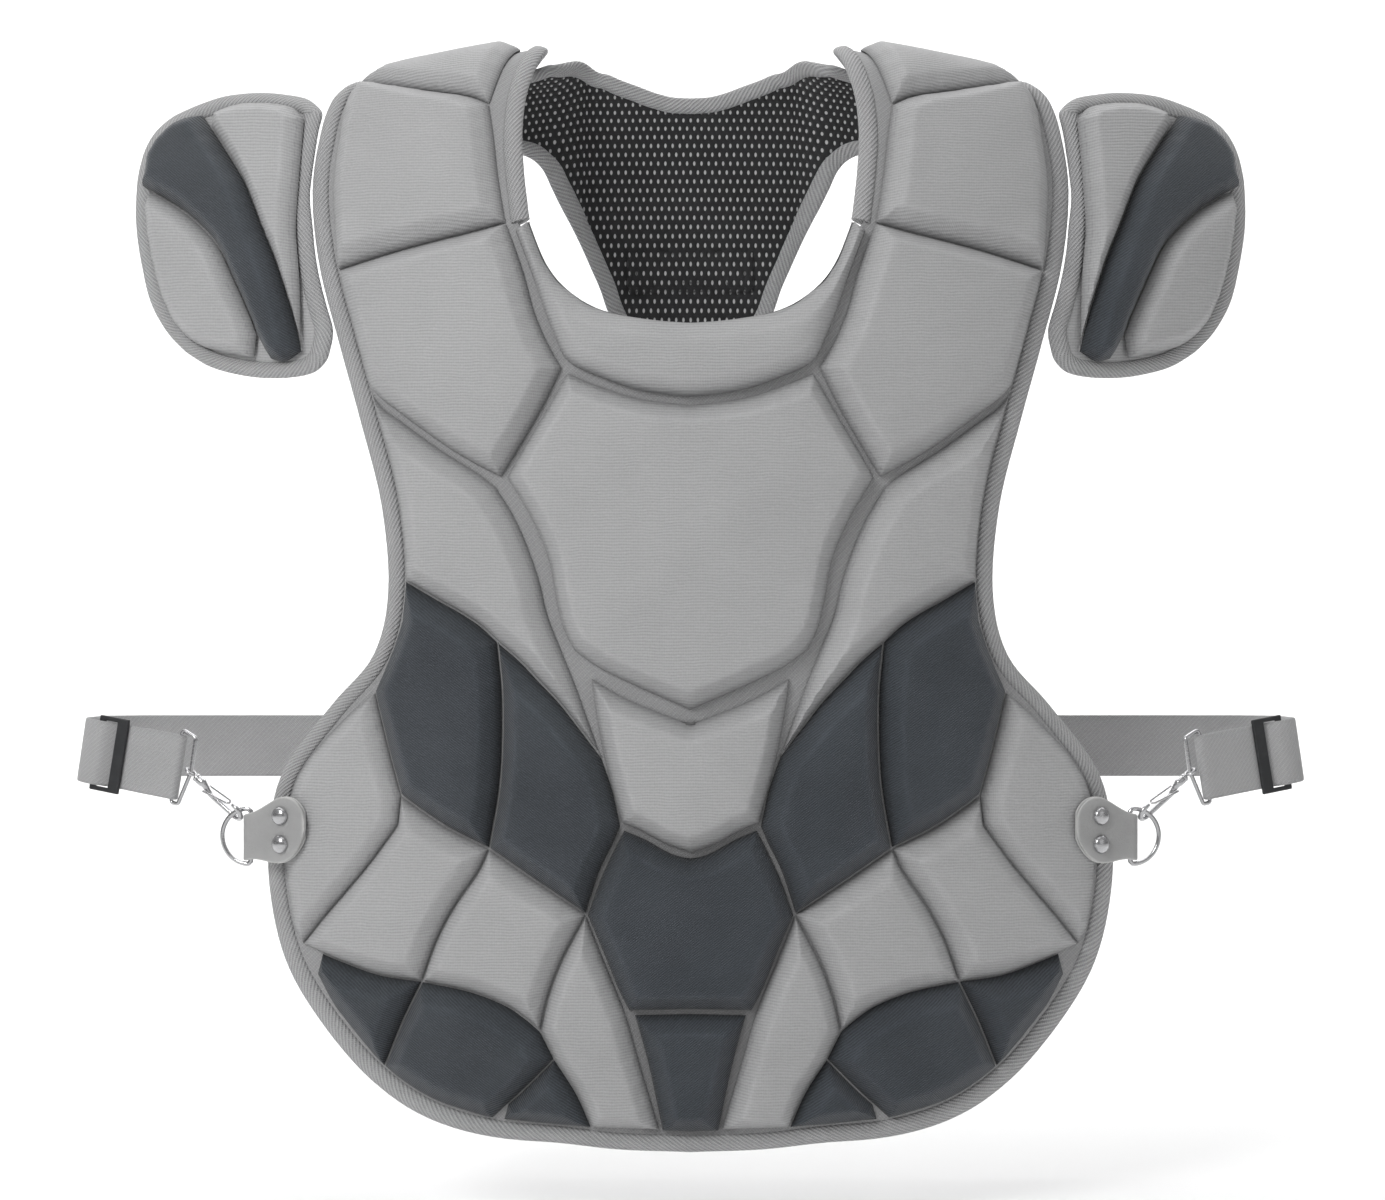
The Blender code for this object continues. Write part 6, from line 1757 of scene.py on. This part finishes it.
        level = self.middle[2] + (np.minimum(route[:, 0], self.strap_side) - self.middle[0]) * math.tan(self.strap_lean)
        back = limited((route[:, 1] - corner[1]) / (self.strap_back_y - corner[1]))
        route[:, 2] = level * (1 - back) + self.strap_level * back
        return route, self.strap_lean * (1 - back)

    def strap(self) -> Mesh:
        """Webbing with round edges, its section carried round the back from one free end to the other.

        Returns:
            The strap's mesh.
        """
        path, lean = self.strap_line()
        path = np.vstack([path, (path * np.array([-1.0, 1.0, 1.0]))[-2::-1]])
        lean = np.concatenate([lean, -lean[-2::-1]])
        along = unit(np.gradient(path, axis=0))
        upright = beside(-np.sin(lean), np.zeros(len(lean)), np.cos(lean))
        upright = unit(upright - along * np.sum(upright * along, axis=1, keepdims=True))
        face = np.cross(along, upright)
        wide = np.array([-1, -0.97, -0.90, -0.3, 0.3, 0.90, 0.97, 1, 0.97, 0.90, 0.3, -0.3, -0.90, -0.97]) / 2
        tall = np.array([0, -0.8, -1, -1, -1, -1, -0.8, 0, 0.8, 1, 1, 1, 1, 0.8]) / 2
        rings = path[:, None] + upright[:, None] * (wide * self.web_width)[None, :, None]
        rings = rings + face[:, None] * (tall * self.web_thick)[None, :, None]
        # Its rounded edges carry the seam mark, painted shade, and a little of the crease mark, painted highlight
        edge = np.broadcast_to(np.abs(wide) > 0.46, rings.shape[:2]).astype(float)
        return swept_mesh(rings, False, {"seam": edge * 0.35, "crease": edge * 0.2})

    def slider(self) -> Mesh:
        """A bar frame: four rows and columns of edges, each box of it rounded by a bevel afterwards.

        Returns:
            The slider's mesh.
        """
        out = square_to(self.along, self.upright)
        front = unit(np.cross(out, self.upright))
        front = front if front[1] < 0 else -front
        half = self.web_width / 2 + self.clearance
        columns = np.cumsum([self.slider_at, self.slider_bar, self.slider_slot, self.slider_rail])
        rows = np.array([-half - self.slider_arm, -half, half, half + self.slider_arm])
        layer, row, column = np.meshgrid([-0.5, 0.5], rows, columns, indexing="ij")
        points = self.middle + (column[..., None] * out + row[..., None] * self.upright
                                + (self.plate + layer[..., None] * self.slider_thick) * front)
        index = np.arange(32).reshape(2, 4, 4)
        kept = [(i, j) for i in range(3) for j in range(3) if (i, j) != (1, 1)]
        faces = []
        walls = (
            ((0, 0), (0, 1), (-1, 0)), ((0, 1), (1, 1), (0, 1)),
            ((1, 1), (1, 0), (1, 0)), ((1, 0), (0, 0), (0, -1)),
        )
        for i, j in kept:
            near, far = index[0, i:i + 2, j:j + 2], index[1, i:i + 2, j:j + 2]
            faces.append((near[0, 0], near[1, 0], near[1, 1], near[0, 1]))
            faces.append((far[0, 0], far[0, 1], far[1, 1], far[1, 0]))
            faces += [(near[a], near[b], far[b], far[a]) for a, b, step in walls
                      if (i + step[0], j + step[1]) not in kept]
        faces = np.array(faces)
        points = points.reshape(-1, 3)
        cloth = beside(points[faces][..., 0], points[faces][..., 2])
        return Mesh(points, [faces], [cloth], {})

    def layer_height(self, along: Array) -> Array:
        """Half the distance between the tab's layers: it falls off past the ring's bar."""
        closed = self.tab_thick / 2 + self.fit
        fold = self.ring_wire + self.fit + self.tab_thick / 2
        return closed + (fold - closed) * np.exp(-along / 0.006)

    def tab(self) -> Mesh:
        """A strip folded round the ring's bar: its half width grows from the fold and ends in a round.

        Returns:
            The tab's mesh.
        """
        fold = self.ring_wire + self.fit + self.tab_thick / 2
        low = np.linspace(0.96, 0.05, 26) * self.tab_length
        turn = np.radians(np.linspace(-90, 90, 17))
        high = np.sin(np.linspace(0.03, math.pi / 2, 34)) * self.tab_length
        stations = np.vstack([
            beside(low, -self.layer_height(low)),
            beside(-fold * np.cos(turn), fold * np.sin(turn)),
            beside(high, self.layer_height(high)),
        ])
        share = limited(stations[:, 0] / (self.tab_length * 0.6))
        share = eased(share)
        half = self.tab_fold_half + (self.tab_end_half - self.tab_fold_half) * share
        past = np.clip((stations[:, 0] / self.tab_length - 0.55) / 0.45, 0.0, 0.985)
        half = half * np.sqrt(1 - past**2)
        along = unit(np.gradient(stations, axis=0))
        normal = beside(-along[:, 1], along[:, 0])
        wide = np.array([-1, -0.97, -0.93, -0.6, 0, 0.6, 0.93, 0.97, 1, 0.97, 0.93, 0.6, 0, -0.6, -0.93, -0.97])
        tall = np.array([0, -0.8, -1, -1, -1, -1, -1, -0.8, 0, 0.8, 1, 1, 1, 1, 1, 0.8]) / 2
        shifted = stations[:, None] + normal[:, None] * (tall * self.tab_thick)[None, :, None]
        down = self.tab_place[1] + wide[None] * half[:, None]
        rings = raised(self.body.base, self.tab_place[0] - shifted[..., 0], down, self.tab_level + shifted[..., 1])
        # The crease mark here is the painted highlight along the tab's sides and round its end
        edge = np.broadcast_to(bell(np.abs(wide), 1.0, 0.05), down.shape)
        rim = np.maximum(edge, bell(shifted[..., 0], self.tab_length, 0.0009))
        return swept_mesh(rings, False, {"crease": 0.8 * rim, "seam": np.zeros(rim.shape)})

    def rivet(self, place: float) -> Mesh:
        """A low dome: its height falls with the square of the distance from its middle.

        Args:
            place: Distance down from the tab's middle, as a share of the distance between the rivets.

        Returns:
            The rivet's mesh.
        """
        seat_height = self.tab_level + float(self.layer_height(np.array(self.rivet_in))) + self.tab_thick / 2 + self.fit
        across = np.full(2, self.tab_place[0] - self.rivet_in)
        down = np.full(2, self.tab_place[1] + place * self.rivet_apart)
        centre, over = raised(self.body.base, across, down, seat_height + np.array([0.0, 0.001]))
        normal = unit(over - centre)
        first = unit(np.cross(normal, [0.0, 0.0, 1.0]))
        second = np.cross(normal, first)
        angle = (np.arange(40) * 2 * math.pi / 40)[:, None]
        circle = np.cos(angle) * first + np.sin(angle) * second
        slope = np.linspace(0.0, 1.0, 14)[1:] * 0.97
        radius = np.concatenate([[0.94, 1.0, 1.0, 0.985], np.cos(slope * math.pi / 2) * 0.96])
        height = np.concatenate([[0.0, 0.03, 0.12, 0.17], 0.17 + 0.83 * np.sin(slope * math.pi / 2)])
        rings = centre + circle[None] * (self.rivet_radius * radius)[:, None, None]
        return swept_mesh(rings + normal * (self.rivet_height * height)[:, None, None], False, {})

    def build(self) -> None:
        """Builds the strap, and the fittings on both sides."""
        self.strap().piece("waist_strap_web", WEBBING, "waist_strap")
        loop = tube(rounded(self.corners, LOOP_BENDS, closed=True), self.loop_wire, 14, closed=True)
        fittings = (
            ("ring", self.ring(), CHROME), ("hook", self.hook(), CHROME), ("wire_loop", loop, CHROME),
            ("tab", self.tab(), LEATHER), ("rivet_upper", self.rivet(-0.5), CHROME),
            ("rivet_lower", self.rivet(0.5), CHROME),
        )
        for word, side in SIDES.items():
            for name, mesh, finish in fittings:
                mesh.piece(f"{name}_{word}_fitting", finish, f"{name}_{word}", side)
            self.gate().piece(f"hook_gate_{word}_wire", CHROME, f"hook_gate_{word}", side, body=f"gate_{word}")
            slider = self.slider().piece(f"slider_{word}_frame", BLACK, f"slider_{word}", side)
            bevel = slider.modifiers.new("round", "BEVEL")
            bevel.width = self.slider_round
            bevel.segments = 3
            bevel.limit_method = "ANGLE"


@dataclass
class Studio:
    """A pale floor that rises into a backdrop, soft lights and the camera in front."""

    floor_level: float = -0.585
    distance: float = 1.6
    seen_width: float = 0.6925
    centre: tuple[float, float] = (0.001, -0.27)
    air_low: float = 0.12
    air_high: float = 0.42
    chest_front: float = -0.075
    sensor: float = 36.0
    reach: float = 14.0
    wall_at: float = 1.6
    wall_round: float = 1.2
    wall_top: float = 4.0

    def floor(self) -> None:
        """A sheet along a profile: level, then a quarter round, then upright."""
        turn = np.radians(np.linspace(0, 90, 16))
        back = self.wall_at + self.wall_round
        y = np.concatenate([[-self.reach], self.wall_at + self.wall_round * np.sin(turn), [back]])
        z = np.concatenate([[0.0], self.wall_round * (1 - np.cos(turn)), [self.wall_top]]) + self.floor_level
        x = np.linspace(-self.reach, self.reach, 9)
        grid = np.stack(np.broadcast_arrays(x[:, None], y[None], z[None]), axis=-1)
        index = np.arange(grid.shape[0] * grid.shape[1]).reshape(grid.shape[:2])
        faces = beside(index[:-1, :-1], index[1:, :-1], index[1:, 1:], index[:-1, 1:]).reshape(-1, 4)
        mesh = bpy.data.meshes.new("floor")
        mesh.from_pydata(grid.reshape(-1, 3).tolist(), [], faces.tolist())
        mesh.shade_smooth()
        item = placed("floor", mesh)
        graph = Graph("floor_paint")
        cloud = graph.noise(graph.object_place(), 3.0)
        graph.set("Base Color", graph.blend(cloud, (0.90, 0.90, 0.90), (0.93, 0.93, 0.93)))
        graph.set("Roughness", 0.9)
        mesh.materials.append(graph.material)

    def light(self, name: str, place: tuple, aim: tuple, size: float, power: float) -> None:
        """Adds one soft square light.

        Args:
            name: Its name.
            place: Where it stands.
            aim: What it points at.
            size: Its width.
            power: Its strength in watts.
        """
        data = bpy.data.lights.new(name, "AREA")
        data.size = size
        data.energy = power
        lamp = placed(name, data)
        lamp.location = place
        lamp.rotation_euler = (Vector(aim) - Vector(place)).to_track_quat("-Z", "Y").to_euler()

    def build(self) -> None:
        """Makes the floor, the lights, the air's light and the camera."""
        self.floor()
        for light in LIGHTS:
            self.light(*light)
        world = bpy.data.worlds.new("air")
        world.use_nodes = True
        tree = world.node_tree
        height = tree.nodes.new("ShaderNodeSeparateXYZ")
        bright = tree.nodes.new("ShaderNodeMapRange")
        tree.links.new(tree.nodes.new("ShaderNodeTexCoord").outputs[0], height.inputs[0])
        tree.links.new(height.outputs[2], bright.inputs[0])
        for socket, value in zip(bright.inputs[1:5], (-0.3, 0.7, self.air_low, self.air_high)):
            socket.default_value = value
        tree.nodes["Background"].inputs[0].default_value = (1.0, 1.0, 1.0, 1.0)
        tree.links.new(bright.outputs[0], tree.nodes["Background"].inputs[1])
        bpy.context.scene.world = world
        data = bpy.data.cameras.new("camera")
        data.sensor_width = self.sensor
        data.lens = self.sensor * self.distance / self.seen_width
        camera = placed("camera", data)
        camera.location = (self.centre[0], self.chest_front - self.distance, self.centre[1])
        camera.rotation_euler = (math.radians(90), 0.0, 0.0)
        bpy.context.scene.camera = camera
        bpy.context.scene.view_settings.view_transform = "Standard"


def main() -> None:
    """Builds the protector and its studio."""
    logging.basicConfig(level=logging.INFO, format="%(name)s: %(message)s")
    body = BodyForm()
    cap = CapForm(body)
    Studio().build()
    panel = Panel(body)
    panel.build()
    ring, first, last = panel.ring()
    PadSet(body, cap).build(ring[first:last + 1])
    Yoke(body).build()
    Cap(cap).build()
    Hardware(body).build()


if __name__ == "__main__":
    main()
